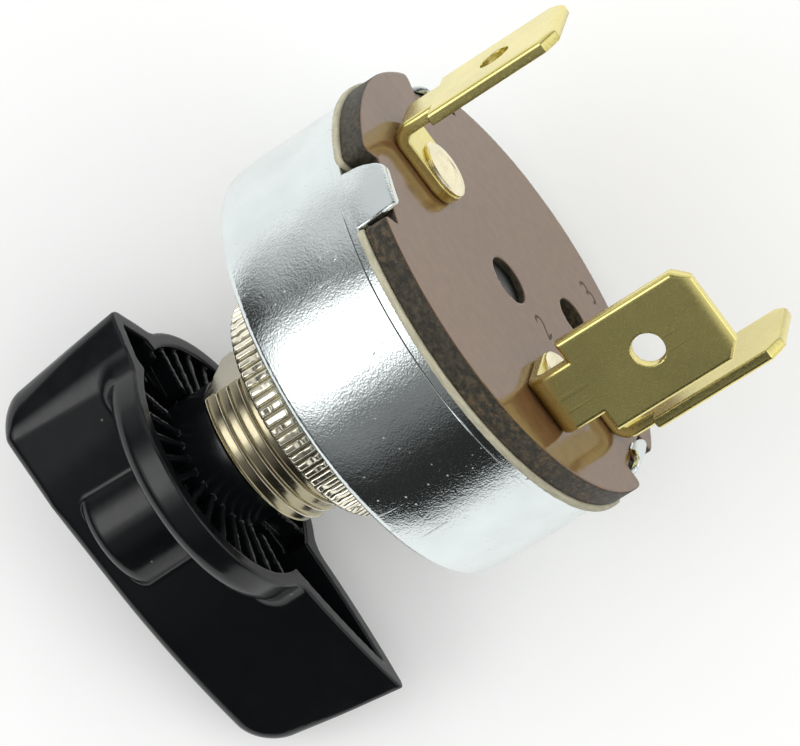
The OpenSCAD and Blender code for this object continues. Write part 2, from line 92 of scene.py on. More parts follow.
# Ears: rows of faces up the foot, round the fold and to the tip, points round each edge and across each
# face, how squarish the fold is, and how the sheet thins to the tip
EAR_FOOT, EAR_FOLD, EAR_TIP = 8, 40, 16
EAR_ROUND, EAR_ACROSS = 5, 17
EAR_BOXY = 0.84
EAR_THIN, EAR_THIN_POWER = 0.98, 2.5

# Rivet head from its rim to its middle: shares of its radius, of its rise and of its soft edge
RIVET_HEAD = ((1, 0.3, 1 / 3), (0.92, 0.48, 1 / 2), (0.62, 0.6, 1 / 2), (0.56, 0.5, 1 / 4),
              (0.46, 0.55, 1 / 3), (0.22, 0.85, 1 / 2), (0, 0.9, 0))

# Tabs: shares of the sheet between which the rolled edge turns into the burred one
ROLL_SPAN = (-0.7, -0.35)

# Thread: shares of the pitch at which rows of faces lie, closer together near the crest, how sharp the
# crest is, steps round the thread, beside the flat and along it, and where the flat's edge ends
THREAD_ROWS = (0, 0.025, 0.05, 0.09, 0.14, 0.21, 0.34, 0.5, 0.66, 0.79, 0.86, 0.91, 0.95, 0.975)
CREST_POWER = 8
ROUND_STEPS, EDGE_STEPS, FLAT_STEPS = 130, 24, 30
FLAT_EDGE = 0.88

# Knurl: steps round each tooth and along it, crown of the tops, span of the tops' widths, foot of the
# flanks, span of the dents' places along the teeth, shares of the chamfer at which rows lie, and seed of
# the uneven teeth
TOOTH_STEPS, TOOTH_ROWS = 14, 14
CROWN = 0.15
TOOTH_SPAN = (0.42, 0.6)
FLANK_FOOT = 0.96
DENT_SPAN = (0.2, 0.8)
CHAMFER_ROWS = (0, 0.4)
TOOTH_SEED = 5

# Knob: shares of its height between which the upright edges grow rounder towards the front
FRONT_SPAN = (0.3, 0.95)

# Surfaces of distance fields: cells kept on either side, and passes that move points onto the surface
BAND = 3
PASSES = 4

# Height above which the shaft is painted dark, as painted shade inside the board's centre hole
DARK_SHAFT = 7 * MM

# Camera of the view: its place, and the directions to the right and down the picture
CAMERA_PLACE = (-69.297 * MM, -274.987 * MM, 104.820 * MM)
VIEW_RIGHT = (0.58784, 0.147009, 0.795551)
VIEW_DOWN = (0.774621, -0.386219, -0.500897)
LENS = 228.85
SENSOR = 36
CLIP = (0.01, 20)

# Floor: its reach from the middle, and the room between it and the object
FLOOR_REACH = 1.2
FLOOR_GAP = 0.1 * MM

# Directions to the top card and to the halo: right, up and ahead in the picture
TOP_WAY = (-0.3, 0.92, -0.22)
HALO_WAY = (-0.5, -0.35, -0.79)

# Cosines between which lights fade in: the halo, the left lamp's shine, the right and the top card, the
# fill from front to back, and the shade from below
HALO_COS = (0.72, 0.95)
SHINE_COS = (0.86, 0.97)
CARD_COS = (0.62, 0.88)
TOP_COS = (0.55, 0.88)
FILL_COS = (-0.2, 0.2)
SHADE_COS = (0.2, 0.85)

# Tones of rubbed crests, pale as a painted highlight, of dust and of lint
RUBBED_HIGHLIGHT = (1.0, 0.97, 0.88)
DUST = (0.4, 0.38, 0.32)
LINT = (0.2, 0.19, 0.17)


def length(name, description, millimetres):
    """A length property, given in millimetres and kept in metres."""
    return FloatProperty(
        name=name, description=description, default=millimetres * MM, unit="LENGTH", precision=6)


def angle(name, description, degrees):
    """An angle property, given in degrees and kept in radians."""
    return FloatProperty(
        name=name, description=description, default=math.radians(degrees), subtype="ANGLE")


def colour(name, description, red, green, blue):
    """A colour property."""
    return FloatVectorProperty(
        name=name, description=description, default=(red, green, blue), subtype="COLOR", min=0, max=1)


def level(name, description, amount):
    """A plain number property."""
    return FloatProperty(name=name, description=description, default=amount, min=0)


class CupSizes(bpy.types.PropertyGroup):
    """Cup with its ears"""

    wall: length("Wall", "Thickness of the cup's sheet", 0.75)
    corner: length("Corner", "Outer radius between face and wall", 0.5)
    inside: length("Inside", "Inner radius between face and wall", 0.3)
    draw_h: length("Draw height", "Height below which the wall draws in towards the face", 2.6)
    draw_in: length("Draw", "How far the wall draws in at the face", 0.22)
    coin_rise: length("Coined line", "Height of the rim above the fine line round the wall", 0.62)
    coin_deep: length("Coined depth", "Depth of the fine line round the wall", 0.05)
    edge: length("Edge", "Round of the sheared edges", 0.09)
    ear_w: length("Ear width", "Width of each ear", 4.2)
    ear_t: length("Ear thickness", "Thickness of each ear", 0.5)
    ear_curl: length("Ear curl", "Outer radius of each ear's curl", 1.1)
    ear_lap: length("Ear lap", "From the wall's outside to the tip of each ear", 1.65)
    ear_corner: length("Ear corner", "How far each ear's end narrows on either side", 1.6)
    ear_nose: length("Ear nose", "Length of strip over which each ear's end narrows", 2.8)
    ear_edge: length("Ear edge", "Round of each ear's long edges", 0.18)
    ear_pull: length("Ear pull", "How far the fold pulls the wall in below each ear", 0.14)
    pull_h: length("Pull height", "Height of the wall that each ear's fold pulls in", 3.2)
    ear_foot: length("Ear foot", "How far each ear's foot runs into the wall", 0.1)
    hole_gap: length("Hole gap", "Clearance of the keyed hole round the bushing", 0.02)


class BoardSizes(bpy.types.PropertyGroup):
    """Terminal board, fibre ring and numbers"""

    edge: length("Edge", "Round of the board's edges", 0.09)
    ring_edge: length("Ring edge", "Round of the fibre ring's edges", 0.12)
    ring_w: length("Ring width", "Width of the fibre ring", 3.5)
    notch_side: length("Notch side", "Room beside each ear in its notch", 0.35)
    notch_gap: length("Notch gap", "Room behind each ear in its notch", 0.03)
    notch_round: length("Notch round", "Round of the rim's corners beside each notch", 0.5)
    pilot_d: length("Pilot hole", "Diameter of the centre hole", 3.1)
    rivet_circle: length("Rivet circle", "Radius on which the rivets stand", 7.67)
    rivet_d: length("Rivet hole", "Diameter of the rivet holes", 2.6)
    digit_h: length("Digit height", "Height of the numbers beside the tabs", 1.55)
    digit_line: length("Digit line", "Width of the numbers' lines", 0.22)
    digit_proud: length("Digit rise", "How far the numbers' lines stand up", 0.012)
    step: length("Fineness", "Size of the faces of board and ring", 0.15)


class TabSizes(bpy.types.PropertyGroup):
    """Tabs and rivets"""

    thick: length("Thickness", "Thickness of the tabs' sheet", 0.81)
    blade_w: length("Blade width", "Width of the push-on blade", 6.35)
    blade_len: length("Blade length", "Length of the blade above its shoulders", 9.0)
    neck_w: length("Neck width", "Width of foot and neck", 3.8)
    foot_len: length("Foot length", "From rivet to the blade's outer face", 4.05)
    bend: length("Bend", "Inner radius of the bend", 0.45)
    corner: length("Corner", "Cut of the blade's end corners", 0.9)
    bevel: length("Bevel", "Lead-in bevel across the blade's end", 0.1)
    hole_d: length("Hole", "Diameter of the blade's hole", 2.0)
    hole_rise: length("Hole rise", "Height of the hole above the shoulders", 4.42)
    roll: length("Roll", "Round of the blanked edges on the outer face", 0.28)
    burr: length("Burr", "Round of the blanked edges on the inner face", 0.05)
    head_d: length("Rivet head", "Diameter of the rivet heads", 3.7)
    contact_d: length("Contact", "Diameter of the rivets' contact ends", 3.6)
    shank_gap: length("Shank gap", "Clearance of the rivets' shanks", 0.05)
    step: length("Fineness", "Size of the tabs' faces", 0.1)


class BushingSizes(bpy.types.PropertyGroup):
    """Bushing and nut"""

    outside: length("Outside", "Radius of the thread's crests", 5.95)
    pitch: length("Pitch", "Pitch of the thread", 25.4 / 32)
    deep: length("Thread depth", "Depth of the thread", 0.28)
    flat: length("Flat", "From the axis to the flat", 4.6)
    bore: length("Bore", "Radius of the shaft's bearing", 3.2)
    chamfer: length("Chamfer", "Chamfer of the thread's end", 0.35)
    bore_edge: length("Bore edge", "Chamfer of the bearing's mouth", 0.35)
    flange_r: length("Flange", "Radius of the inner flange", 6.8)
    soft: length("Soft edge", "Bevel of the flange's edges", 0.08)
    knurl: length("Knurl depth", "Depth of the nut's knurl", 0.32)
    dent: length("Dents", "Depth of the dents in the nut's teeth", 0.16)
    dent_w: length("Dent width", "Width of the dents in the nut's teeth", 0.22)
    nut_edge: length("Nut edge", "Chamfer of the nut's edges", 0.2)
    nut_gap: length("Nut gap", "Clearance of the nut over the thread", 0.03)
    nut_mouth: length("Nut mouth", "Chamfer of the nut's hole", 0.3)


class KnobSizes(bpy.types.PropertyGroup):
    """Knob"""

    rim_drop: length("Rim", "From the top of the hub to the skirt's rim", 2.05)
    pointer_len: length("Pointer", "From the axis to the pointer's end", 18.1)
    tail_len: length("Tail", "From the axis to the tail's end", 11.4)
    half: length("Half width", "Half the width of the bar", 3.1)
    pointer_start: length("Pointer start", "Where the pointer begins to narrow", 2.0)
    tail_start: length("Tail start", "Where the tail begins to narrow", 3.8)
    tail_bend: length("Tail bend", "Where the tail's sides turn in", 8.95)
    bend_half: length("Bend half width", "Half the width where the tail's sides turn in", 2.3)
    bend_round: length("Bend round", "Round of the tail's turn", 0.5)
    pointer_end: length("Pointer end", "Half the width at the pointer's end", 0.3)
    tail_end: length("Tail end", "Half the width at the tail's end", 0.35)
    draft: length("Draft", "How far the sides draw in towards the front", 0.3)
    wall: length("Wall", "Wall of bar and skirt", 1.0)
    skirt_r: length("Skirt", "Radius of the skirt", 8.8)
    skirt_h: length("Skirt height", "Height of the skirt", 2.45)
    skirt_round: length("Skirt round", "Round of the skirt's front edge", 1.1)
    skirt_blend: length("Skirt blend", "Fillet between skirt and bar", 0.8)
    hub_r: length("Hub", "Radius of the hub", 4.4)
    hub_deep: length("Hub depth", "How far the hub shows below the rim", 8.5)
    hub_round: length("Hub round", "Round of the hub's end", 0.9)
    hub_blend: length("Hub blend", "Fillet between hub and bar", 0.15)
    front_round: length("Front round", "Round along the front's long edges", 0.8)
    side_round: length("End round", "Round of the upright edges at both ends", 0.35)
    pointer_round: length("Pointer round", "Round of the pointer's front end", 2.4)
    tail_round: length("Tail round", "Round of the tail's front end", 2.0)
    rim_round: length("Rim round", "Round of the rim's edges", 0.16)
    rib_t: length("Rib", "Thickness of the ribs under the skirt", 0.4)
    rib_drop: length("Rib drop", "How far the ribs stay below the rim", 0.3)
    bore: length("Bore", "Radius of the shaft's bore", 3.22)
    bore_flat: length("Bore flat", "From the axis to the bore's flat", 2.65)
    bore_end: length("Bore floor", "Thickness of the hub's floor", 1.3)
    bore_edge: length("Bore edge", "Round of the bore's mouth", 0.08)
    lean: angle("End lean", "Lean of both ends", 7)
    step: length("Fineness", "Size of the knob's faces", 0.17)


class SpringSizes(bpy.types.PropertyGroup):
    """Contact spring"""

    wire: length("Wire", "Diameter of the spring's wire", 0.5)
    coil: length("Coil", "Middle diameter of the coil", 8.4)
    turns: level("Turns", "Turns of the coil", 3)
    split: level("Split", "Share of the coil's length that parts its two halves", 0.004)


class Finishes(bpy.types.PropertyGroup):
    """Colours of the finishes"""

    zinc: colour("Zinc", "Bright zinc plate of the cup", 0.76, 0.82, 0.82)
    nickel: colour("Nickel", "Warm nickel of the nut", 0.92, 0.88, 0.72)
    worn: colour("Worn nickel", "Worn nickel of the bushing", 0.84, 0.75, 0.5)
    brass: colour("Brass", "Rolled brass of the tabs", 0.84, 0.74, 0.28)
    rivet: colour("Rivets", "Bright brass of the rivets", 0.93, 0.85, 0.6)
    phenolic: colour("Phenolic", "Face of the terminal board", 0.172, 0.09, 0.04)
    phenolic_edge: colour("Phenolic edge", "Cut edge of the terminal board", 0.05, 0.042, 0.026)
    ink: colour("Ink", "Dark ink of the numbers", 0.08, 0.045, 0.034)
    fibre: colour("Fibre", "Cream fibre of ring and liner", 0.55, 0.52, 0.37)
    black: colour("Knob", "Black moulding of the knob", 0.005, 0.006, 0.007)
    steel: colour("Steel", "Plain steel of the inner pieces", 0.56, 0.56, 0.55)
    nylon: colour("Nylon", "Natural nylon of the ball carrier", 0.72, 0.68, 0.56)
    moulding: colour("Moulding", "Dark moulding of the contact carrier", 0.035, 0.018, 0.012)


class StageSettings(bpy.types.PropertyGroup):
    """Lamps, room and floor"""

    key_power: FloatProperty(
        name="Left lamp", description="Power of the soft lamp at the left", default=0.31, unit="POWER")
    side_power: FloatProperty(
        name="Right lamp", description="Power of the soft lamp at the right", default=0.2, unit="POWER")
    lamp_distance: length("Lamp distance", "From the object to each lamp", 600)
    lamp_rise: angle("Lamp rise", "Height of the lamps above the floor", 45)
    lamp_turn: angle("Lamp turn", "Turn of the lamps round the view", 10)
    lamp_wide: angle("Lamp width", "Half the width of each lamp, as the object sees it", 14)
    lamp_tall: angle("Lamp height", "Half the height of each lamp, as the object sees it", 9)
    fill: level("Fill", "Light from the room", 1.05)
    shade: level("Shade", "Light from the room on the side below the picture", 0.3)
    bounce: level("Bounce", "Light that the floor throws back on the object", 0.9)
    glow: level("Floor glow", "Light of the floor itself, which lifts its shadows", 0.12)
    gloom: level("Gloom", "Light of the dark room that reflections show", 0.025)
    halo: level("Halo", "Light of the room that reflections show below the left lamp", 0.22)
    shine: level("Shine", "Light of the room that reflections show close round the left lamp", 1.15)
    card: level("Right card", "Light of the white card that reflections show at the right", 1.0)
    sky: level("Top card", "Light of the white card that reflections show above the picture", 0.75)
    floor: colour("Floor", "Colour of the floor", 0.93, 0.935, 0.925)


class SwitchSizes(bpy.types.PropertyGroup):
    """All groups of the switch"""

    cup: PointerProperty(type=CupSizes)
    board: PointerProperty(type=BoardSizes)
    tab: PointerProperty(type=TabSizes)
    bushing: PointerProperty(type=BushingSizes)
    knob: PointerProperty(type=KnobSizes)
    spring: PointerProperty(type=SpringSizes)
    finish: PointerProperty(type=Finishes)
    stage: PointerProperty(type=StageSettings)


def sizes(context):
    """The sizes of every piece, by group."""
    return context.scene.switch


# Surfaces

def unit(vectors):
    """Vectors of length one, along the last axis."""
    return vectors / np.maximum(np.linalg.norm(vectors, axis=-1, keepdims=True), LEAST_LENGTH)


def rounded(corners, steps=7):
    """A closed line through corners (across, up, radius), with each corner turned into an arc."""
    corners = np.array(corners, float)
    line = []
    for before, here, after in zip(np.roll(corners, 1, 0), corners, np.roll(corners, -1, 0)):
        back = unit(before[:2] - here[:2])
        on = unit(after[:2] - here[:2])
        half = math.acos(np.clip(back @ on, -1, 1)) / 2
        centre = here[:2] + unit(back + on) * here[2] / math.sin(half)
        start, end = (here[:2] + way * here[2] / math.tan(half) - centre for way in (back, on))
        first = math.atan2(start[1], start[0])
        turn = math.remainder(math.atan2(end[1], end[0]) - first, FULL)
        angles = first + turn * np.linspace(0, 1, steps)
        line.append(centre + here[2] * np.stack([np.cos(angles), np.sin(angles)], -1))
    return np.vstack(line)


def about_axis(radius, height, angle):
    """Points at a radius, a height and an angle about the shaft."""
    return np.stack(np.broadcast_arrays(radius * np.cos(angle), radius * np.sin(angle), height), -1)


def grid_quads(rows, columns, rows_close=False, columns_close=False):
    """Quads of a grid of points; a closing side joins its last line to its first."""
    row, column = np.meshgrid(
        np.arange(rows if rows_close else rows - 1),
        np.arange(columns if columns_close else columns - 1), indexing="ij")
    next_row = (row + 1) % rows
    next_column = (column + 1) % columns
    corners = (row * columns + column, next_row * columns + column,
               next_row * columns + next_column, row * columns + next_column)
    return np.stack(corners, -1).reshape(-1, 4)


def grid_shell(points, rows_close=False, columns_close=False):
    """A shell of points and quads from a grid of points."""
    rows, columns = points.shape[:2]
    return points.reshape(-1, 3), grid_quads(rows, columns, rows_close, columns_close)


def divided(line, gap):
    """A closed line with points added evenly, so that no two neighbours lie farther apart than a gap."""
    ways = np.roll(line, -1, 0) - line
    counts = np.maximum(np.ceil(np.linalg.norm(ways, axis=1) / gap), 1).astype(int)
    starts = np.repeat(np.cumsum(counts) - counts, counts)
    share = (np.arange(counts.sum()) - starts) / np.repeat(counts, counts)
    return np.repeat(line, counts, 0) + share[:, None] * np.repeat(ways, counts, 0)


def smooth(values, low, high):
    """A soft step from nought to one between two values."""
    share = np.clip((values - low) / (high - low), 0, 1)
    return share * share * (3 - 2 * share)


def circle(steps):
    """Angles evenly round a full turn."""
    return np.linspace(0, FULL, steps, endpoint=False)


def wrapped(angles):
    """Angles brought to within half a turn of nought."""
    return (angles + np.pi) % FULL - np.pi


def arc(across, up, radius, first, last, steps=12):
    """Points on a circle between two angles in degrees."""
    angles = np.radians(np.linspace(first, last, steps))
    return np.stack([across + radius * np.cos(angles), up + radius * np.sin(angles)], -1)


def moved(points, matrix):
    """Points moved by a matrix of four rows."""
    matrix = np.array(matrix)
    return points @ matrix[:3, :3].T + matrix[:3, 3]


def placed(shell, matrix):
    """A shell moved by a matrix of four rows."""
    points, quads = shell
    return moved(points, matrix), quads


def round_max(a, b, radius):
    """Distance to what two shapes share, with the edge between them rounded."""
    corner = np.hypot(np.maximum(radius + a, 0), np.maximum(radius + b, 0)) - radius
    return np.where(np.minimum(a, b) > -radius, corner, np.maximum(a, b))


def between(values, low, high):
    """Distance to the span between two values."""
    return np.abs(values - (low + high) / 2) - (high - low) / 2


def round_min(a, b, radius):
    """Distance to two shapes joined, with the corner between them filled."""
    return -round_max(-a, -b, radius)


def slope(field, points, reach):
    """Direction in which a distance field grows, by differences over a short reach."""
    parts = []
    for axis in np.eye(3) * reach:
        parts.append(field(*(points + axis).T) - field(*(points - axis).T))
    return unit(np.stack(parts, -1))


def field_shell(field, low, high, step):
    """The surface where a distance field is zero: quads round the cells that it crosses, with each
    point then moved down the field's slope onto the surface."""
    axes = [np.arange(a - 2 * step, b + 3 * step, step) for a, b in zip(low, high)]
    values = field(*np.meshgrid(*axes, indexing="ij")) / step
    grid = openvdb.FloatGrid(float(BAND))
    grid.copyFromArray(np.clip(values, -BAND, BAND).astype(np.float32))
    points, quads = grid.convertToQuads()
    points = np.array(points, float) * step + [axis[0] for axis in axes]
    reach = step / 8
    for _ in range(PASSES):
        points -= slope(field, points, reach) * field(*points.T)[:, None]
    quads = np.array(quads, int)
    corner = points[quads]
    facing = np.cross(corner[:, 2] - corner[:, 0], corner[:, 3] - corner[:, 1])
    outward = np.sum(facing * slope(field, corner.mean(1), reach), -1)
    return points, quads if outward.sum() > 0 else quads[:, ::-1]


def mesh_points(mesh):
    """The points of a mesh as an array."""
    place = np.empty(len(mesh.vertices) * 3)
    mesh.vertices.foreach_get("co", place)
    return place.reshape(-1, 3)


def weighted_normals(mesh):
    """Normals at the points, in which each face counts by its area, so that flats stay flat."""
    faces = len(mesh.polygons)
    normal, area, total = np.empty(faces * 3), np.empty(faces), np.empty(faces, int)
    corner = np.empty(len(mesh.loops), int)
    mesh.polygons.foreach_get("normal", normal)
    mesh.polygons.foreach_get("area", area)
    mesh.polygons.foreach_get("loop_total", total)
    mesh.loops.foreach_get("vertex_index", corner)
    sums = np.zeros((len(mesh.vertices), 3))
    np.add.at(sums, corner, (normal.reshape(-1, 3) * area[:, None]).repeat(total, axis=0))
    return unit(sums)


def added(name, data):
    """A new object in the scene, made of some data."""
    item = bpy.data.objects.new(name, data)
    bpy.context.scene.collection.objects.link(item)
    return item


def make_piece(name, body, slot, material, shells, nodes=(), normals=None, depth=None):
    """One mesh of several shells, welded and smooth, that stands for its nodes. It rides on a body, or
    else stays where it is. The normals and a depth into the sheet can come
    from functions of the points."""
    starts = np.cumsum([0] + [len(points) for points, quads in shells])
    points = np.vstack([points for points, quads in shells])
    quads = np.vstack([quads + start for (_, quads), start in zip(shells, starts)])
    mesh = bpy.data.meshes.new(name)
    mesh.from_pydata(points.tolist(), [], quads.tolist())
    edit = bmesh.new()
    edit.from_mesh(mesh)
    bmesh.ops.remove_doubles(edit, verts=edit.verts, dist=WELD)
    edit.to_mesh(mesh)
    edit.free()
    mesh.polygons.foreach_set("use_smooth", np.ones(len(mesh.polygons), bool))
    place = mesh_points(mesh)
    mesh.normals_split_custom_set_from_vertices(normals(place) if normals else weighted_normals(mesh))
    if depth:
        attribute = mesh.attributes.new("depth", "FLOAT", "POINT")
        attribute.data.foreach_set("value", depth(place).astype(np.float32))
    mesh.materials.append(material)
    piece = added(name, mesh)
    if isinstance(body, str):
        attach(piece, body)
    else:
        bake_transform(piece)
    if nodes:
        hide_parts(*nodes)
    return piece


# Finishes

class Nodes:
    """Short calls for the nodes of one tree."""

    def __init__(self, tree):
        self.tree = tree

    def fill(self, socket, value):
        """Links a socket to an input, or sets the input to a constant."""
        if isinstance(value, bpy.types.NodeSocket):
            self.tree.links.new(value, socket)
        else:
            socket.default_value = value

    def node(self, kind, inputs=None, **settings):
        """A node of a kind, with its settings and inputs."""
        node = self.tree.nodes.new(kind)
        for name, value in settings.items():
            setattr(node, name, value)
        for name, value in (inputs or {}).items():
            self.fill(node.inputs[name], value)
        return node

    def math(self, operation, first, second=0.0):
        """Two values put together by a sum, a product or the like."""
        return self.node("ShaderNodeMath", {0: first, 1: second}, operation=operation).outputs[0]


class Finish(Nodes):
    """A material with one principled shader, and short calls for the patterns that feed it."""

    def __init__(self, name, base, roughness, metallic=0.0):
        self.material = bpy.data.materials.new(name)
        self.material.use_nodes = True
        super().__init__(self.material.node_tree)
        self.shader = self.tree.nodes["Principled BSDF"]
        self.set("Base Color", (*base, 1))
        self.set("Roughness", roughness)
        self.set("Metallic", metallic)
        self.coordinates = self.node("ShaderNodeTexCoord")
        self.place = self.coordinates.outputs["Object"]

    def set(self, socket, value):
        """Fills an input of the shader."""
        self.fill(self.shader.inputs[socket], value)

    def stretched(self, stretch, turn=(0, 0, 0)):
        """Object coordinates, turned and then scaled along each axis."""
        inputs = {"Vector": self.place, "Scale": stretch, "Rotation": turn}
        return self.node("ShaderNodeMapping", inputs).outputs[0]

    def noise(self, scale, detail=2.0, place=None, roughness=0.5):
        """Cloudy noise of a scale in cycles a metre."""
        inputs = {"Vector": place or self.place, "Scale": scale, "Detail": detail, "Roughness": roughness}
        return self.node("ShaderNodeTexNoise", inputs).outputs[0]

    def specks(self, scale, inner, outer, patches, full=0.6, most=1.0, detail=1.0):
        """Round specks that fade between two radii, given in cells, and lie in patches of cloudy noise."""
        cells = self.node("ShaderNodeTexVoronoi", {"Vector": self.place, "Scale": scale})
        spots = self.ramp(cells.outputs["Distance"], (inner, 1.0), (outer, 0.0))
        cover = self.ramp(self.noise(patches, detail), (0.5, 0.0), (full, most))
        return self.math("MULTIPLY", spots, cover)

    def depth(self):
        """The piece's own depth at each point, or nought where it has none."""
        return self.node("ShaderNodeAttribute", attribute_name="depth").outputs["Fac"]

    def ramp(self, value, *stops):
        """A ramp through (position, colour) stops, where a number is a grey."""
        ramp = self.node("ShaderNodeValToRGB", {"Fac": value})
        elements = ramp.color_ramp.elements
        while len(elements) < len(stops):
            elements.new(1.0)
        for element, (position, tone) in zip(elements, stops):
            element.position = position
            element.color = (tone, tone, tone, 1) if isinstance(tone, float) else (*tone, 1)
        return ramp.outputs["Color"]

    def mix(self, factor, first, second):
        """A blend of two colours."""
        node = self.node("ShaderNodeMix", data_type="RGBA")
        self.fill(node.inputs[0], factor)
        for socket, value in ((node.inputs[6], first), (node.inputs[7], second)):
            self.fill(socket, value if isinstance(value, bpy.types.NodeSocket) else (*value, 1))
        return node.outputs[2]

    def bump(self, *layers):
        """Bumps of (height, distance in metres), one on the other."""
        normal = None
        for height, distance in layers:
            inputs = {"Height": height, "Distance": distance, "Strength": 1.0}
            if normal:
                inputs["Normal"] = normal
            normal = self.node("ShaderNodeBump", inputs).outputs[0]
        self.set("Normal", normal)


def shades(base, *factors):
    """Darker and lighter shades of a colour."""
    return [tuple(min(1.0, part * factor) for part in base) for factor in factors]


def clouds(finish, base, scale, dark, light):
    """Slow changes of tone between two shades of a colour."""
    low, high = shades(base, dark, light)
    return finish.ramp(finish.noise(scale, 3), (0.3, low), (0.7, high))


def scratches(finish, stretch, turn, scale):
    """Sparse fine lines: the peaks of a noise drawn out one way, kept in patches."""
    lines = finish.ramp(finish.noise(scale, 1, finish.stretched(stretch, turn)), (0.69, 0.0), (0.73, 1.0))
    patches = finish.ramp(finish.noise(210, 1), (0.52, 0.0), (0.62, 1.0))
    return finish.math("MULTIPLY", lines, patches)


def bright_zinc(base):
    """Zinc plate of the cup: pebbled grain that breaks up reflections, bluish clouds, fine scratches
    along the wall, small raised specks, pale dust, and painted shade that darkens the line round the wall."""
    finish = Finish("bright_zinc", base, 0.13, 1.0)
    tone = clouds(finish, base, 240, 0.92, 1.05)
    # Painted shade: where the piece's depth marks the fine line round the wall, the zinc is painted near
    # black
    finish.set("Base Color", finish.mix(finish.depth(), tone, shades(base, 0.05)[0]))
    grain = finish.noise(7500, 2, roughness=0.6)
    waves = finish.noise(2100, 2)
    marks = scratches(finish, (2.2, 2.2, 0.05), (0.25, 0.1, 0), 900)
    raised = finish.specks(900, inner=0.05, outer=0.13, patches=330, full=0.62, detail=2)
    dust = finish.specks(1800, inner=0.07, outer=0.14, patches=420, full=0.62, most=0.8, detail=2)
    dull = finish.math("MAXIMUM", dust, finish.math("MULTIPLY", marks, 0.5))
    finish.set("Metallic", finish.math("SUBTRACT", 1.0, dull))
    finish.set("Roughness", finish.ramp(grain, (0.25, 0.08), (0.8, 0.16)))
    finish.bump((waves, 10 * MICRON), (grain, 16 * MICRON), (marks, 9 * MICRON), (raised, 14 * MICRON))
    return finish.material


def plate(name, base, roughness, pebble, gap_shade=0.0, crest=1.0):
    """Bright plating: pebbles, faint clouds of tone and an uneven gloss. By its depth it gets painted shade
    in the gaps, and can be rubbed dull and painted pale on the crests as a painted highlight."""
    finish = Finish(name, base, roughness, 1.0)
    # Painted shade: darker towards the bottom of the gaps, by the depth into them
    gap_shade_mask = finish.ramp(finish.depth(), (0.2, 0.0), (0.95, gap_shade))
    tone = finish.mix(gap_shade_mask, clouds(finish, base, 500, 0.9, 1.05), shades(base, 0.12)[0])
    # Rubbed wear and painted highlight: the crests are made dull and painted pale, so that they show as
    # bright lines
    if crest < 1:
        tone = finish.mix(finish.ramp(finish.depth(), (0.1, 1.0), (0.4, 0.0)), tone, RUBBED_HIGHLIGHT)
        finish.set("Metallic", finish.ramp(finish.depth(), (0.1, crest), (0.4, 1.0)))
    finish.set("Base Color", tone)
    grain = finish.noise(3600, 3)
    finish.set("Roughness", finish.ramp(grain, (0.25, roughness * 0.75), (0.8, roughness * 1.4)))
    finish.bump((finish.noise(1500, 2), pebble), (grain, pebble / 2))
    return finish.material


def sheet_brass(name, base, roughness):
    """Rolled brass: fine grain, clouds of tarnish, small stains, a few long scratches, and a torn zone
    on the blanked edges where the depth into the sheet is past the middle."""
    finish = Finish(name, base, roughness, 1.0)
    stain = finish.ramp(finish.noise(700, 5, roughness=0.7), (0.62, 0.0), (0.8, 0.2))
    tone = finish.mix(stain, clouds(finish, base, 300, 0.9, 1.04), shades(base, 0.5)[0])
    marks = scratches(finish, (2.4, 2.4, 0.025), (0, 0, 0), 1300)
    torn = finish.ramp(finish.depth(), (0.45, 0.0), (0.8, 1.0), (0.92, 1.0), (0.97, 0.0))
    rough = finish.noise(4200, 3)
    finish.set("Base Color", finish.mix(finish.math("MULTIPLY", torn, rough), tone, shades(base, 0.6)[0]))
    gloss = finish.ramp(finish.noise(5200, 2), (0.25, roughness * 0.85), (0.8, roughness * 1.2))
    finish.set("Roughness", finish.mix(finish.math("MULTIPLY", marks, 0.6), gloss, (0.2, 0.2, 0.2)))
    finish.bump((finish.noise(5200, 2), 2.5 * MICRON), (marks, 5 * MICRON),
                (finish.math("MULTIPLY", torn, rough), 25 * MICRON))
    return finish.material


def paper_phenolic(colours):
    """Paper phenolic: a glossy mauve face with faint mottling, and a dark raw edge with paper flecks,
    rust stains and dust."""
    face, raw = colours.phenolic, colours.phenolic_edge
    finish = Finish("paper_phenolic", face, 0.2)
    split = finish.node("ShaderNodeSeparateXYZ", {"Vector": finish.coordinates.outputs["Normal"]})
    is_face = finish.ramp(finish.math("ABSOLUTE", split.outputs["Z"]), (0.55, 0.0), (0.8, 1.0))
    mottle = clouds(finish, face, 1300, 0.9, 1.1)
    layers = finish.noise(2400, 5, finish.stretched((1, 1, 1.4)), 0.75)
    warm = tuple(part * more for part, more in zip(raw, (3.3, 2.4, 1.4)))
    dusty = tuple(part * more for part, more in zip(raw, (1.7, 1.6, 1.5)))
    flecks = finish.ramp(layers, (0.40, shades(raw, 0.45)[0]), (0.52, tuple(raw)), (0.64, dusty))
    rust = finish.math("MULTIPLY", finish.ramp(layers, (0.5, 0.0), (0.62, 1.0)),
                       finish.ramp(finish.noise(170, 2), (0.5, 0.0), (0.66, 0.7)))
    dust = finish.specks(1500, inner=0.05, outer=0.1, patches=400, most=0.8)
    flecks = finish.mix(dust, finish.mix(rust, flecks, warm), DUST)
    finish.set("Base Color", finish.mix(is_face, flecks, mottle))
    finish.set("Roughness", finish.ramp(is_face, (0.0, 0.6), (1.0, 0.13)))
    finish.set("IOR", 1.52)
    torn = finish.math("MULTIPLY", finish.math("SUBTRACT", 1.0, is_face), layers)
    finish.bump((torn, 120 * MICRON), (finish.noise(900, 2), 3 * MICRON))
    return finish.material


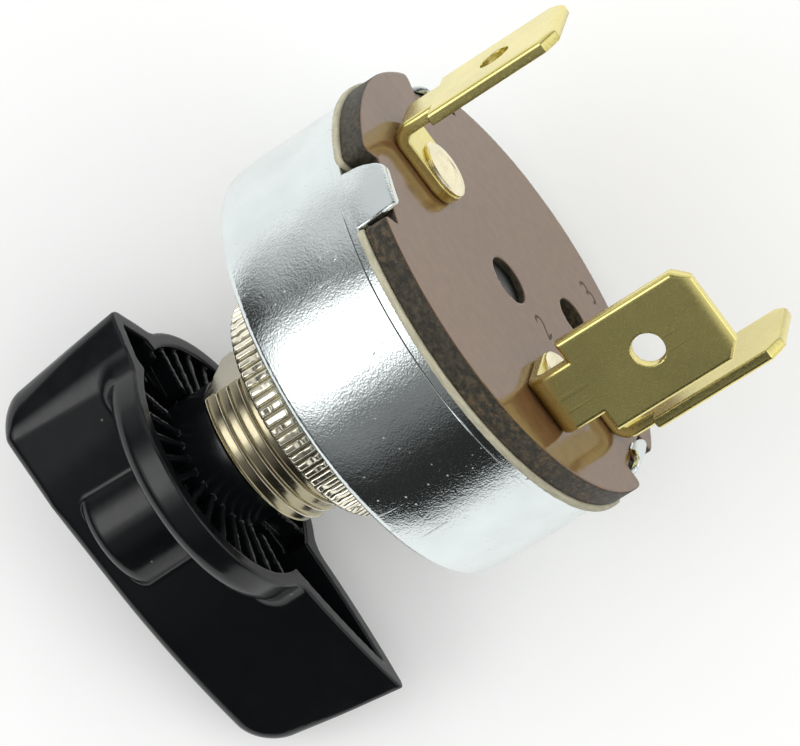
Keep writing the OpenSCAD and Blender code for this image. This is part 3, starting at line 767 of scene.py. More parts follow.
def fibre_sheet(name, base):
    """Vulcanised fibre: cream, with layers along its cut edge and small dark specks."""
    finish = Finish(name, base, 0.6)
    layers = finish.noise(900, 4, finish.stretched((1, 1, 5)), 0.65)
    dark, light = shades(base, 0.74, 1.08)
    tone = finish.ramp(layers, (0.3, dark), (0.65, light))
    specks = finish.specks(1300, inner=0.06, outer=0.12, patches=500, most=0.7)
    finish.set("Base Color", finish.mix(specks, tone, shades(base, 0.4)[0]))
    finish.bump((layers, 50 * MICRON), (finish.noise(5000, 3), 15 * MICRON))
    return finish.material


def black_moulding(base):
    """Glossy black moulding: slight flow ripples, an uneven gloss with fine combing, and dust specks."""
    finish = Finish("black_moulding", base, 0.18)
    specks = finish.specks(330, inner=0.016, outer=0.034, patches=260)
    finish.set("Base Color", finish.mix(specks, tuple(base), LINT))
    haze = finish.noise(700, 5, roughness=0.65)
    finish.set("Roughness", finish.ramp(haze, (0.3, 0.14), (0.75, 0.26)))
    combing = finish.noise(2600, 2, finish.stretched((0.3, 0.3, 1.6)))
    finish.set("Specular IOR Level", 0.38)
    finish.bump((finish.noise(420, 2), 8 * MICRON), (combing, 2.5 * MICRON))
    return finish.material


def plain_steel(name, base, painted_shade_from=None):
    """Turned and pressed steel: fine rings of the tool and a light haze. Above a given height it is
    painted dark, as painted shade deep in the board's centre hole."""
    finish = Finish(name, base, 0.3, 1.0)
    rings = finish.noise(2400, 2, finish.stretched((0.2, 0.2, 4)))
    tone = clouds(finish, base, 500, 0.85, 1.08)
    if painted_shade_from:
        # Painted shade: above this height the steel is painted near black
        height = finish.node("ShaderNodeSeparateXYZ", {"Vector": finish.place}).outputs["Z"]
        tone = finish.mix(finish.math("GREATER_THAN", height, painted_shade_from), tone, shades(base, 0.06)[0])
    finish.set("Base Color", tone)
    finish.set("Roughness", finish.ramp(rings, (0.25, 0.22), (0.8, 0.42)))
    finish.bump((rings, 3 * MICRON))
    return finish.material


def moulded(name, base, roughness):
    """Dull moulding with faint flow marks."""
    finish = Finish(name, base, roughness)
    flow = finish.noise(600, 4, roughness=0.6)
    dark, light = shades(base, 0.85, 1.12)
    finish.set("Base Color", finish.ramp(flow, (0.3, dark), (0.7, light)))
    finish.set("Roughness", finish.ramp(flow, (0.2, roughness * 0.85), (0.8, roughness * 1.15)))
    finish.bump((finish.noise(3500, 2), 4 * MICRON))
    return finish.material


def dark_ink(base):
    """Dark ink of the numbers, worn thin in places."""
    finish = Finish("dark_ink", base, 0.45)
    dark, thin = shades(base, 0.8, 1.9)
    finish.set("Base Color", finish.ramp(finish.noise(3000, 3), (0.4, dark), (0.7, thin)))
    finish.set("Specular IOR Level", 0.1)
    return finish.material


# Lines of the two plain numbers, in digit heights, with their places on the board, and a digit's centre
DIGIT_CENTRE = (0.3, 0.5)
DIGITS = (
    (np.vstack([arc(0.29, 0.72, 0.27, 165, -35), np.linspace((0.45, 0.5), (0.03, 0.03), 8),
                np.linspace((0.1, 0.02), (0.6, 0.02), 6)]), (3.48 * MM, -0.11 * MM)),
    (np.vstack([arc(0.28, 0.75, 0.24, 150, -115), arc(0.27, 0.26, 0.27, 115, -150)]),
     (5.92 * MM, 10.42 * MM)),
)


# Pieces

def box(node):
    """Lowest and highest corner of a solid, as arrays."""
    return [np.array(corner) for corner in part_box(node)]


class SWITCH_OT_cup(bpy.types.Operator):
    """Drawn cup with its keyed hole, a fine line below the rim and three curled ears"""
    bl_idname = "switch.cup"
    bl_label = "Cup"

    def line(self, cup, height, angles, rim):
        """Share of the fine line's depth at a height and an angle: the line fades out at both ends."""
        share = np.clip(1 - np.abs(height - rim + cup.coin_rise) / cup.coin_deep, 0, 1)
        first, full, fading, last = np.radians(LINE_ANGLES)
        turned = wrapped(angles)
        return share * smooth(turned, first, full) * (1 - smooth(turned, fading, last))

    def wall(self, cup, bushing, radius, rim):
        """Section of face and wall carried round the shaft. The wall draws in by the square of the
        height left below a level, the folds pull it in by a bell curve below each ear, and the hole's
        edge follows the bushing's flat."""
        hole = bushing.outside + cup.hole_gap
        band = rim - cup.coin_rise
        inner = radius - cup.wall
        deep = cup.coin_deep
        section = divided(rounded((
            (hole, 0, cup.edge), (radius, 0, cup.corner), (radius, band - deep, deep / 3),
            (radius - deep, band, deep / 3), (radius, band + deep, deep / 3),
            (radius, rim, cup.edge), (inner, rim, cup.edge),
            (inner, cup.wall, cup.inside), (hole, cup.wall, cup.edge)), CUP_CORNER), cup.wall)
        left = np.maximum(1 - section[:, 1] / cup.draw_h, 0)
        outer = section[:, 0] > radius - cup.corner - cup.edge
        section[:, 0] -= np.where(outer, cup.draw_in * left ** 2, 0)
        angles = circle(CUP_STEPS)[:, None]
        keyed = np.minimum(hole, (bushing.flat + cup.hole_gap) / np.maximum(-np.cos(angles), LEAST_COSINE))
        near = section[:, 0] < hole + 2 * cup.edge
        across = np.where(near, section[:, 0] - hole + keyed, section[:, 0])
        aside = np.stack([wrapped(angles - turn) for turn in np.radians(EAR_ANGLES)])
        near_ear = np.exp(-(aside * radius / cup.ear_w) ** 4).sum(0)
        pull = near_ear * smooth(section[:, 1], rim - cup.pull_h, rim)
        outside = section[:, 0] > radius - cup.wall / 2
        groove = np.clip(1 - np.abs(section[:, 1] - band) / deep, 0, 1)
        filled = groove - self.line(cup, section[:, 1], angles, rim)
        across = across + outside * (deep * filled - cup.ear_pull * pull)
        return grid_shell(about_axis(across, section[:, 1], angles), True, True)

    def ear(self, cup, turn_at, radius, rim, board_top):
        """A strip carried up the wall and over the board on a quarter of a squarish ellipse, thinner at
        its tip. Along the strip its half width falls on an ellipse towards the tip; its section is a
        rectangle with round corners."""
        middle = cup.ear_curl - cup.ear_t / 2 - cup.ear_pull
        fold = radius - cup.ear_curl
        tip = radius - cup.ear_lap
        start = rim - cup.coin_rise - cup.ear_foot
        straight = rim - start
        tall = board_top + cup.ear_t / 2 - rim
        folded = np.linspace(0, QUARTER, EAR_FOLD)
        share = np.concatenate([np.zeros(EAR_FOOT), folded, np.full(EAR_TIP, QUARTER)])
        rising = np.linspace(0, straight, EAR_FOOT, endpoint=False)
        before = np.concatenate([rising, np.full(EAR_FOLD + EAR_TIP, straight)])
        lapped = np.sin(np.linspace(0, QUARTER, EAR_TIP + 1)[1:])
        beyond = np.concatenate([np.zeros(EAR_FOOT + EAR_FOLD), lapped])
        sunk = (cup.coin_deep + cup.edge) * np.maximum(1 - before / cup.ear_foot, 0)
        across = fold + middle * np.cos(share) ** EAR_BOXY - beyond * (fold - tip - cup.edge) - sunk
        height = start + before + tall * np.sin(share) ** EAR_BOXY
        turn = np.arctan2(-np.gradient(across), np.gradient(height))
        turn = np.where(share == 0, 0, np.where(share == QUARTER, QUARTER, turn))
        reach = np.concatenate([[0], np.cumsum(np.hypot(np.diff(across), np.diff(height)))])
        inset = np.clip(1 - (reach[-1] - reach) / cup.ear_nose, 0, 1)
        width = cup.ear_w / 2 - cup.ear_corner * (1 - np.sqrt(1 - inset ** 2))
        thick = cup.ear_t / 2 * np.sqrt(1 - (EAR_THIN * beyond) ** EAR_THIN_POWER)
        height = height - (cup.ear_t / 2 - thick)

        quarter = np.linspace(0, QUARTER, EAR_ROUND)
        end = quarter[1:]
        rounded_end = across[-1] - cup.edge * np.sin(end)
        across = np.concatenate([across[:1], across, rounded_end, across[-1:] - cup.edge])
        height = np.concatenate([height[:1], height, np.repeat(height[-1:], len(end) + 1)])
        turn = np.concatenate([turn[:1], turn, np.repeat(turn[-1:], len(end) + 1)])
        fall = cup.edge * (1 - np.cos(end))
        width = np.concatenate([width[:1], width, width[-1] - fall, width[-1:] - cup.edge])
        thick = np.concatenate([[0], thick, np.maximum(thick[-1] - fall, cup.edge / 4), [0]])

        face = np.linspace(1, -1, EAR_ACROSS)[1:-1]
        flat = np.full_like(face, QUARTER)
        round_at = np.concatenate([quarter, flat, quarter + QUARTER])
        round_at = np.concatenate([round_at, round_at + math.pi])
        corner = np.ones(EAR_ROUND)
        aside = np.concatenate([corner, face, -corner, -corner, -face, corner])
        above = np.where(np.arange(len(round_at)) < len(round_at) // 2, 1, -1)
        edge = np.minimum(cup.ear_edge, thick)[:, None]
        out = aside * (width[:, None] - edge) + edge * np.cos(round_at)
        up = above * (thick[:, None] - edge) + edge * np.sin(round_at)
        radial = across[:, None] + up * np.cos(turn)[:, None]
        level_at = height[:, None] + up * np.sin(turn)[:, None]
        angles = math.radians(turn_at) + out / radial
        return grid_shell(about_axis(radial, level_at, angles), False, True)

    def execute(self, context):
        size = sizes(context)
        cup = size.cup
        radius = box("cup")[1][1]
        rim = box("fibre_ring")[0][2]
        board_top = box("terminal_board")[1][2]
        shells = [self.wall(cup, size.bushing, radius, rim)]
        shells += [self.ear(cup, turn_at, radius, rim, board_top) for turn_at in EAR_ANGLES]
        material = bright_zinc(size.finish.zinc)

        # The fine line's share is kept as the depth, which the zinc finish turns into painted shade
        def groove(points):
            """Share of the fine line's depth at points of the wall's outside."""
            outside = np.hypot(points[:, 0], points[:, 1]) > radius - cup.wall / 2
            return outside * self.line(cup, points[:, 2], np.arctan2(points[:, 1], points[:, 0]), rim)

        make_piece("cup_shell", "housing", "zinc_plate", material, shells, ["cup"], None, groove)
        return {"FINISHED"}


class SWITCH_OT_board(bpy.types.Operator):
    """Terminal board, fibre ring and the numbers beside the tabs"""
    bl_idname = "switch.board"
    bl_label = "Board and ring"

    def notches(self, cup, board, radius):
        """Distance to the three notches: boxes that begin behind the ears and open outwards."""
        half = cup.ear_w / 2 + board.notch_side
        start = math.sqrt((radius - cup.ear_curl) ** 2 - cup.ear_w ** 2 / 4) - board.notch_gap

        def field(x, y):
            """Least of the distances to the notches, each in its own turned plan."""
            parts = []
            for turn in np.radians(EAR_ANGLES):
                along = x * math.cos(turn) + y * math.sin(turn)
                aside = np.abs(y * math.cos(turn) - x * math.sin(turn))
                parts.append(np.maximum(aside - half, start - along))
            return np.minimum.reduce(parts)

        return field

    def stroke(self, board, line, place, top):
        """A line of ink: an ellipse carried along the line, with its width falling to nothing at both
        ends. The line is given in digit heights, upright along -X and read along +Y."""
        line = np.array(line)
        middle, half = DIGIT_CENTRE
        path = np.array(place) + board.digit_h * np.stack([half - line[:, 1], line[:, 0] - middle], -1)
        ahead = unit(np.gradient(path, axis=0))
        aside = np.stack([-ahead[:, 1], ahead[:, 0]], -1)
        taper = np.minimum(np.minimum(np.arange(len(path)), np.arange(len(path))[::-1]) / 2, 1)[:, None]
        angles = circle(INK_STEPS)
        wide = taper * board.digit_line / 2 * np.cos(angles)
        flat = path[:, None] + wide[..., None] * aside[:, None]
        up = top + taper * board.digit_proud * np.sin(angles)
        return grid_shell(np.concatenate([flat, up[..., None]], -1), False, True)

    def flat_piece(self, size, node, holes, edge):
        """Shells, nodes and normals of a flat piece: a notched disc less round holes, shared with a slab,
        with the edges between them rounded."""
        low, high = box(node)
        step = size.board.step
        notch = self.notches(size.cup, size.board, box("cup")[1][1])

        def field(x, y, z):
            """Distance to the piece."""
            plan = round_max(np.hypot(x, y) - high[1], -notch(x, y), size.board.notch_round)
            for across, up, radius in holes:
                plan = np.maximum(plan, radius - np.hypot(x - across, y - up))
            return round_max(plan, between(z, low[2], high[2]), edge)

        shell = field_shell(field, low, high, step)
        return [shell], [node], lambda points: slope(field, points, step / 4)

    def execute(self, context):
        size = sizes(context)
        board = size.board
        holes = [(0, 0, board.pilot_d / 2)]
        for turn in np.radians([rivet for rivet, _ in TAB_ANGLES.values()] + [SPARE_ANGLE]):
            holes.append((board.rivet_circle * math.cos(turn), board.rivet_circle * math.sin(turn),
                          board.rivet_d / 2))
        make_piece("phenolic_board", "housing", "phenolic", paper_phenolic(size.finish),
                   *self.flat_piece(size, "terminal_board", holes, board.edge))
        middle = [(0, 0, box("fibre_ring")[1][1] - board.ring_w)]
        make_piece("fibre_washer", "housing", "fibre", fibre_sheet("cream_fibre", size.finish.fibre),
                   *self.flat_piece(size, "fibre_ring", middle, board.ring_edge))
        top = box("terminal_board")[1][2]
        strokes = [self.stroke(board, line, place, top) for line, place in DIGITS]
        make_piece("plain_numbers", "housing", "phenolic", dark_ink(size.finish.ink), strokes)
        return {"FINISHED"}


class SWITCH_OT_tabs(bpy.types.Operator):
    """Three bent brass tabs and their rivets"""
    bl_idname = "switch.tabs"
    bl_label = "Tabs and rivets"

    def rivet(self, tab, board, board_top):
        """A rivet's section turned about its axis: contact, shank, and a low head with a rim, a ring and
        a raised middle."""
        low, high = box("contact_rivets")
        head = board_top + tab.thick
        radius = tab.head_d / 2
        rise = high[2] - head
        contact = tab.contact_d / 2
        shank = board.rivet_d / 2 - tab.shank_gap
        board_z = box("terminal_board")[0][2]
        soft = rise / 4
        crown = [(radius * out, head + rise * up, soft * turned) for out, up, turned in RIVET_HEAD]
        section = rounded((
            (0, low[2], 0), (contact - soft, low[2], soft), (contact, low[2] + soft, soft / 2),
            (contact, board_z, soft / 4), (shank, board_z, 0), (shank, head, 0),
            (radius, head, soft / 4), *crown), RIVET_CORNER)
        angles = circle(RIVET_STEPS)[:, None]
        return grid_shell(about_axis(section[:, 0], section[:, 1], angles), True, False)

    def execute(self, context):
        size = sizes(context)
        tab, board = size.tab, size.board
        board_top = box("terminal_board")[1][2]
        tip = box("terminal_1")[1][2] - board_top
        shoulder = tip - tab.blade_len

        def outer_side(x, z):
            """Distance to the strip's outer side: under the foot and behind the blade, with a bend."""
            return round_max(-z, x - tab.foot_len, tab.bend + tab.thick)

        def field(x, y, z):
            """Distance to a tab from its rivet: the bent strip between two rounded angles, shared with
            the outline of foot, neck and blade, less the hole."""
            aside = np.abs(y)
            outer = outer_side(x, z)
            inner = round_max(tab.thick - z, x - tab.foot_len + tab.thick, tab.bend)
            foot = np.where(x > 0, aside, np.hypot(x, y)) - tab.neck_w / 2
            middle = np.abs(x - tab.foot_len + tab.thick / 2)
            bevel = (2 * (middle - tab.thick / 2 + tab.bevel) + z - tip) / math.sqrt(5)
            corner = (aside - tab.blade_w / 2 + z - tip + tab.corner) / math.sqrt(2)
            end = np.maximum(np.maximum(z - tip, corner), bevel)
            blade = np.maximum(np.maximum(aside - tab.blade_w / 2, shoulder - z), end)
            outline = np.minimum(blade, np.maximum(foot, z - shoulder - tab.thick))
            hole = np.hypot(y, z - shoulder - tab.hole_rise) - tab.hole_d / 2
            low, high = (tab.thick * share for share in ROLL_SPAN)
            soft = tab.burr + (tab.roll - tab.burr) * smooth(outer, low, high)
            solid = round_max(np.maximum(outer, -inner), outline, soft)
            return round_max(solid, -hole, tab.burr)

        low = (-tab.neck_w / 2, -tab.blade_w / 2, 0)
        high = (tab.foot_len, tab.blade_w / 2, tip)
        shell = field_shell(field, low, high, tab.step)
        material = sheet_brass("rolled_brass", size.finish.brass, roughness=0.25)
        for number, (node, (rivet, face)) in enumerate(TAB_ANGLES.items(), 1):
            place = (Matrix.Rotation(math.radians(rivet), 4, "Z")
                     @ Matrix.Translation((board.rivet_circle, 0, board_top))
                     @ Matrix.Rotation(math.radians(face - rivet), 4, "Z"))
            back = place.inverted()
            spin = np.array(place)[:3, :3]

            def normals(points, back=back, spin=spin):
                """Slope of the tab's field at its points, turned to the tab's place."""
                return slope(field, moved(points, back), tab.step / 3) @ spin.T

            def depth(points, back=back):
                """Share of the sheet's thickness below its outer side."""
                x, _, z = moved(points, back).T
                return -outer_side(x, z) / tab.thick

            make_piece(f"push_on_tab_{number}", "housing", "tab_brass", material, [placed(shell, place)],
                       [node], normals, depth)

        shells = []
        for rivet, _ in TAB_ANGLES.values():
            place = (Matrix.Rotation(math.radians(rivet), 4, "Z")
                     @ Matrix.Translation((board.rivet_circle, 0, 0)))
            shells.append(placed(self.rivet(tab, board, board_top), place))
        bright = plate("headed_brass", size.finish.rivet, roughness=0.24, pebble=4 * MICRON)
        make_piece("headed_rivets", "housing", "rivet_brass", bright, shells, ["contact_rivets"])
        return {"FINISHED"}


class SWITCH_OT_bushing(bpy.types.Operator):
    """Threaded bushing with one flat, and its knurled nut"""
    bl_idname = "switch.bushing"
    bl_label = "Bushing and nut"

    def bushing(self, thread, low, high, plate_top):
        """Rows that climb with the thread, one pitch a turn, and stop at both ends. The radius falls
        from each sharp crest to a broad root by the eighth power of the share of the pitch, and is cut
        by the flat and by the end's chamfer. Bore and flange close the section."""
        half_flat = math.acos(thread.flat / thread.outside)
        past_edge = FLAT_EDGE * half_flat
        beside = np.array([-half_flat, -past_edge, past_edge, half_flat])
        stops = (0, *(math.pi + beside), FULL)
        counts = (ROUND_STEPS, EDGE_STEPS, FLAT_STEPS, EDGE_STEPS, ROUND_STEPS)
        spans = [np.linspace(*span, endpoint=False) for span in zip(stops, stops[1:], counts)]
        turns = np.concatenate([*spans, [FULL]])[:, None]
        neck = plate_top - thread.soft
        pitches = math.ceil((neck - low) / thread.pitch) + 1
        climb = (np.arange(pitches)[:, None] + THREAD_ROWS).ravel() - turns / FULL
        height = np.clip(low + climb * thread.pitch, low, neck)
        phase = (height - low) / thread.pitch + turns / FULL
        crest = np.abs(2 * (phase - np.floor(phase)) - 1) ** CREST_POWER
        outer = thread.outside - thread.deep * (1 - crest)
        outer = np.minimum(outer, thread.outside - thread.chamfer + height - low)
        outer = np.minimum(outer, thread.flat / np.maximum(-np.cos(turns), LEAST_COSINE))

        def ring(radius, level_at):
            """One point of the section, the same all round."""
            return np.broadcast_to(np.array([radius, level_at]), (len(turns), 1, 2))

        bore, flange, soft = thread.bore, thread.flange_r, thread.soft
        section = np.concatenate([
            ring(bore, high - soft), ring(bore, low + thread.bore_edge), ring(bore + thread.bore_edge, low),
            np.stack([outer, height], -1),
            np.stack([outer[:, -1:], np.full_like(turns, plate_top)], -1),
            ring(flange, plate_top), ring(flange, high - soft), ring(flange - soft, high),
            ring(bore + soft, high)], 1)
        return grid_shell(about_axis(section[..., 0], section[..., 1], turns), False, True)

    def nut(self, thread, low, high, outside):
        """A ring with teeth: crowned tops and narrow gaps, dented here and there by a bell curve along
        each tooth, with both edges chamfered."""
        chance = np.random.default_rng(TOOTH_SEED)
        tooth_dent = thread.dent * chance.uniform(0, 1, TEETH)
        tooth_level = chance.uniform(*DENT_SPAN, TEETH)
        tooth_wide = chance.uniform(*TOOTH_SPAN, TEETH)
        angles = circle(TEETH * TOOTH_STEPS)[:, None]
        tooth = np.arange(TEETH * TOOTH_STEPS)[:, None] // TOOTH_STEPS
        aside = np.abs(2 * (angles * TEETH / FULL % 1) - 1)
        gap = CROWN * aside ** 2 + (1 - CROWN) * smooth(aside, tooth_wide[tooth], FLANK_FOOT)
        edge = thread.nut_edge
        chamfer = edge * np.array(CHAMFER_ROWS)
        levels = np.concatenate([
            low + chamfer, np.linspace(low + edge, high - edge, TOOTH_ROWS), high - chamfer[::-1]])
        inset = np.maximum(edge - np.minimum(levels - low, high - levels), 0)
        dent_at = low + tooth_level[tooth] * (high - low)
        dents = tooth_dent[tooth] * np.exp(-((levels - dent_at) / thread.dent_w) ** 2)
        depth = np.maximum(thread.knurl * gap, dents)
        radius = outside - np.maximum(depth, inset + depth * (1 - inset / edge))
        hole = thread.outside + thread.nut_gap
        mouth = thread.nut_mouth
        inner = np.array([
            (hole + mouth, high), (hole, high - mouth), (hole, low + mouth), (hole + mouth, low)])
        radius = np.concatenate([radius, np.broadcast_to(inner[:, 0], (len(angles), len(inner)))], 1)
        height = np.concatenate([levels, inner[:, 1]])
        return grid_shell(about_axis(radius, height, angles), True, True)

    def execute(self, context):
        size = sizes(context)
        thread = size.bushing
        low, high = box("bushing")
        shell = self.bushing(thread, low[2], high[2], box("index_plate")[1][2])
        # The bushing's valleys get painted shade, and its crests are rubbed and painted pale as a painted
        # highlight
        worn = plate("worn_nickel", size.finish.worn, roughness=0.18, pebble=5 * MICRON, gap_shade=0.6,
                     crest=0.35)
        make_piece("threaded_bushing", "housing", "nickel", worn, [shell], ["bushing"], None,
                   lambda points: self.below(points, thread.outside, thread.deep))
        low, high = box("panel_nut")
        shell = self.nut(thread, low[2], high[2], high[1])
        # The nut's gaps between its teeth get painted shade
        bright = plate("knurled_nickel", size.finish.nickel, roughness=0.2, pebble=22 * MICRON, gap_shade=0.8)
        make_piece("knurled_nut", "housing", "nickel", bright, [shell], ["panel_nut"], None,
                   lambda points: self.below(points, high[1], thread.knurl))
        return {"FINISHED"}

    def below(self, points, outside, deep):
        """Depth of points below a radius, as a share of a full depth."""
        return np.clip((outside - np.hypot(points[:, 0], points[:, 1])) / deep, 0, 1)


class SWITCH_OT_knob(bpy.types.Operator):
    """Pointer knob: tapered bar, round skirt with ribs inside, and a hub that swells from the bar"""
    bl_idname = "switch.knob"
    bl_label = "Knob"

    def execute(self, context):
        size = sizes(context)
        knob = size.knob
        low, high = box("knob")
        front, hub_top = low[2], high[2]
        rim = hub_top - knob.rim_drop
        tall = rim - front
        hub_end = rim - knob.hub_deep
        slant = math.tan(knob.lean)
        span = knob.pointer_len - knob.pointer_start
        fall = knob.half - knob.pointer_end
        taper_r = (span ** 2 + fall ** 2) / (2 * fall)

        def across(x, y, first, second):
            """Distance to a pair of slanting sides through two (behind, half width) points."""
            way = unit(np.array(second) - np.array(first))
            return (np.abs(y) - first[1]) * way[0] - (-x - first[0]) * way[1]

        def side(x, y, z, inset):
            """Distance to the bar's sides: straight in the middle, on a circle towards the pointer, and
            in two slants with a soft turn towards the tail. The sides draw in towards the front."""
            ahead = np.maximum(x - knob.pointer_start, 0)
            straight = np.hypot(ahead, np.abs(y) - knob.half + taper_r) - taper_r
            turn = (knob.tail_bend, knob.bend_half)
            slow = across(x, y, (knob.tail_start, knob.half), turn)
            fast = across(x, y, turn, (knob.tail_len, knob.tail_end))
            tail = round_max(slow, fast, knob.bend_round)
            return round_max(straight, tail, knob.bend_round) + knob.draft * (rim - z) / tall + inset

        def along(x, z, inset):
            """Distance to the bar's outline seen from its side: leaning ends with round corners."""
            lean = (rim - z) * slant
            share = math.cos(knob.lean)
            tip = (x - knob.pointer_len + lean) * share + inset
            tail = (-x - knob.tail_len + lean) * share + inset
            face = front - z + inset
            return round_max(round_max(face, tip, knob.pointer_round), tail, knob.tail_round)

        def field(x, y, z):
            """Distance to the knob: bar, skirt and hub joined with fillets, cut off at the rim, hollowed
            by the wall, with ribs left under the skirt, a post to the hub's top and the shaft's bore."""
            radius = np.hypot(x, y)
            near_front = smooth((rim - z) / tall, *FRONT_SPAN)
            soft = knob.side_round + (knob.front_round - knob.side_round) * near_front
            bar = round_max(along(x, z, 0), side(x, y, z, 0), soft)
            skirt = round_max(radius - knob.skirt_r, rim - knob.skirt_h - z, knob.skirt_round)
            hub = round_max(radius - knob.hub_r, hub_end - z, knob.hub_round)
            outer = round_min(round_min(bar, skirt, knob.skirt_blend), hub, knob.hub_blend)
            outer = round_max(outer, z - rim, knob.rim_round)
            floor = rim - knob.skirt_h + knob.wall
            pocket = np.maximum(radius - knob.skirt_r + knob.wall, floor - z)
            share = np.arctan2(y, x) * RIBS / FULL
            rib = np.abs(share - np.round(share)) * radius * FULL / RIBS - knob.rib_t / 2
            pocket = np.maximum(pocket, -np.maximum(rib, z - rim + knob.rib_drop))
            hollow = np.maximum(along(x, z, knob.wall), side(x, y, z, knob.wall))
            pocket = np.maximum(np.minimum(pocket, hollow), knob.hub_r - radius)
            solid = round_max(outer, -pocket, knob.rim_round)
            post = np.maximum(radius - knob.hub_r, hub_end + knob.hub_round - z)
            solid = np.minimum(solid, round_max(post, z - hub_top, knob.rim_round))
            bore = np.maximum(radius - knob.bore, -x - knob.bore_flat)
            bore = np.maximum(bore, hub_end + knob.bore_end - z)
            return round_max(solid, -bore, knob.bore_edge)

        make_piece("pointer_knob", "rotor", "knob_black", black_moulding(size.finish.black),
                   [field_shell(field, low, high, knob.step)], ["knob"],
                   lambda points: slope(field, points, knob.step / 3))
        return {"FINISHED"}


class SWITCH_OT_spring(bpy.types.Operator):
    """Contact spring in two halves, a lower and an upper"""
    bl_idname = "switch.spring"
    bl_label = "Spring"

    def coil(self, spring, low, high, first, last):
        """Round wire carried along a helix between two shares of its length, closed at both ends."""
        share = np.linspace(first, last, COIL_ROWS)
        share = np.concatenate([share[:1], share, share[-1:]])[:, None]
        wire = np.full_like(share, spring.wire / 2)
        wire[[0, -1]] = 0
        around = circle(WIRE_STEPS)
        height = low + spring.wire / 2 + (high - low - spring.wire) * share + wire * np.sin(around)
        radius = spring.coil / 2 + wire * np.cos(around)
        return grid_shell(about_axis(radius, height, FULL * spring.turns * share), False, True)

    def execute(self, context):
        size = sizes(context)
        spring = size.spring
        low, high = (corner[2] for corner in box("contact_spring"))
        bottom, middle, top = ((0, 0, height) for height in (low, (low + high) / 2, high))
        steel = plain_steel("spring_steel", size.finish.steel)
        halves = (("spring_lower_half", 0, 0.5 - spring.split, ("detent", "rotor", bottom, middle)),
                  ("spring_upper_half", 0.5 + spring.split, 1, ("rotor", "contact_bridge", middle, top)))
        for name, first, last, bodies in halves:
            make_piece(name, bodies, "inner_steel", steel, [self.coil(spring, low, high, first, last)],
                       ["contact_spring"])
        return {"FINISHED"}


class SWITCH_OT_inside(bpy.types.Operator):
    """Finishes of the solids that stay as they are: shaft, detent, contact plate and liner"""
    bl_idname = "switch.inside"
    bl_label = "Inner pieces"

    def execute(self, context):
        colours = sizes(context).finish
        steel = plain_steel("plain_steel", colours.steel)
        finishes = {
            "shaft": plain_steel("shaft_steel", colours.steel, DARK_SHAFT),
            "index_plate": steel, "detent_balls": steel, "knob_clip": steel,
            "thrust_washer": plate("washer_brass", colours.rivet, roughness=0.25, pebble=3 * MICRON),
            "contact_plate": sheet_brass("spring_brass", colours.brass, roughness=0.3),
            "ball_carrier": moulded("natural_nylon", colours.nylon, roughness=0.45),
            "contact_carrier": moulded("dark_moulding", colours.moulding, roughness=0.4),
            "cup_liner": fibre_sheet("liner_fibre", colours.fibre),
        }
        for node, material in finishes.items():
            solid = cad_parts[node]
            solid.data.materials.clear()
            solid.data.materials.append(material)
        return {"FINISHED"}


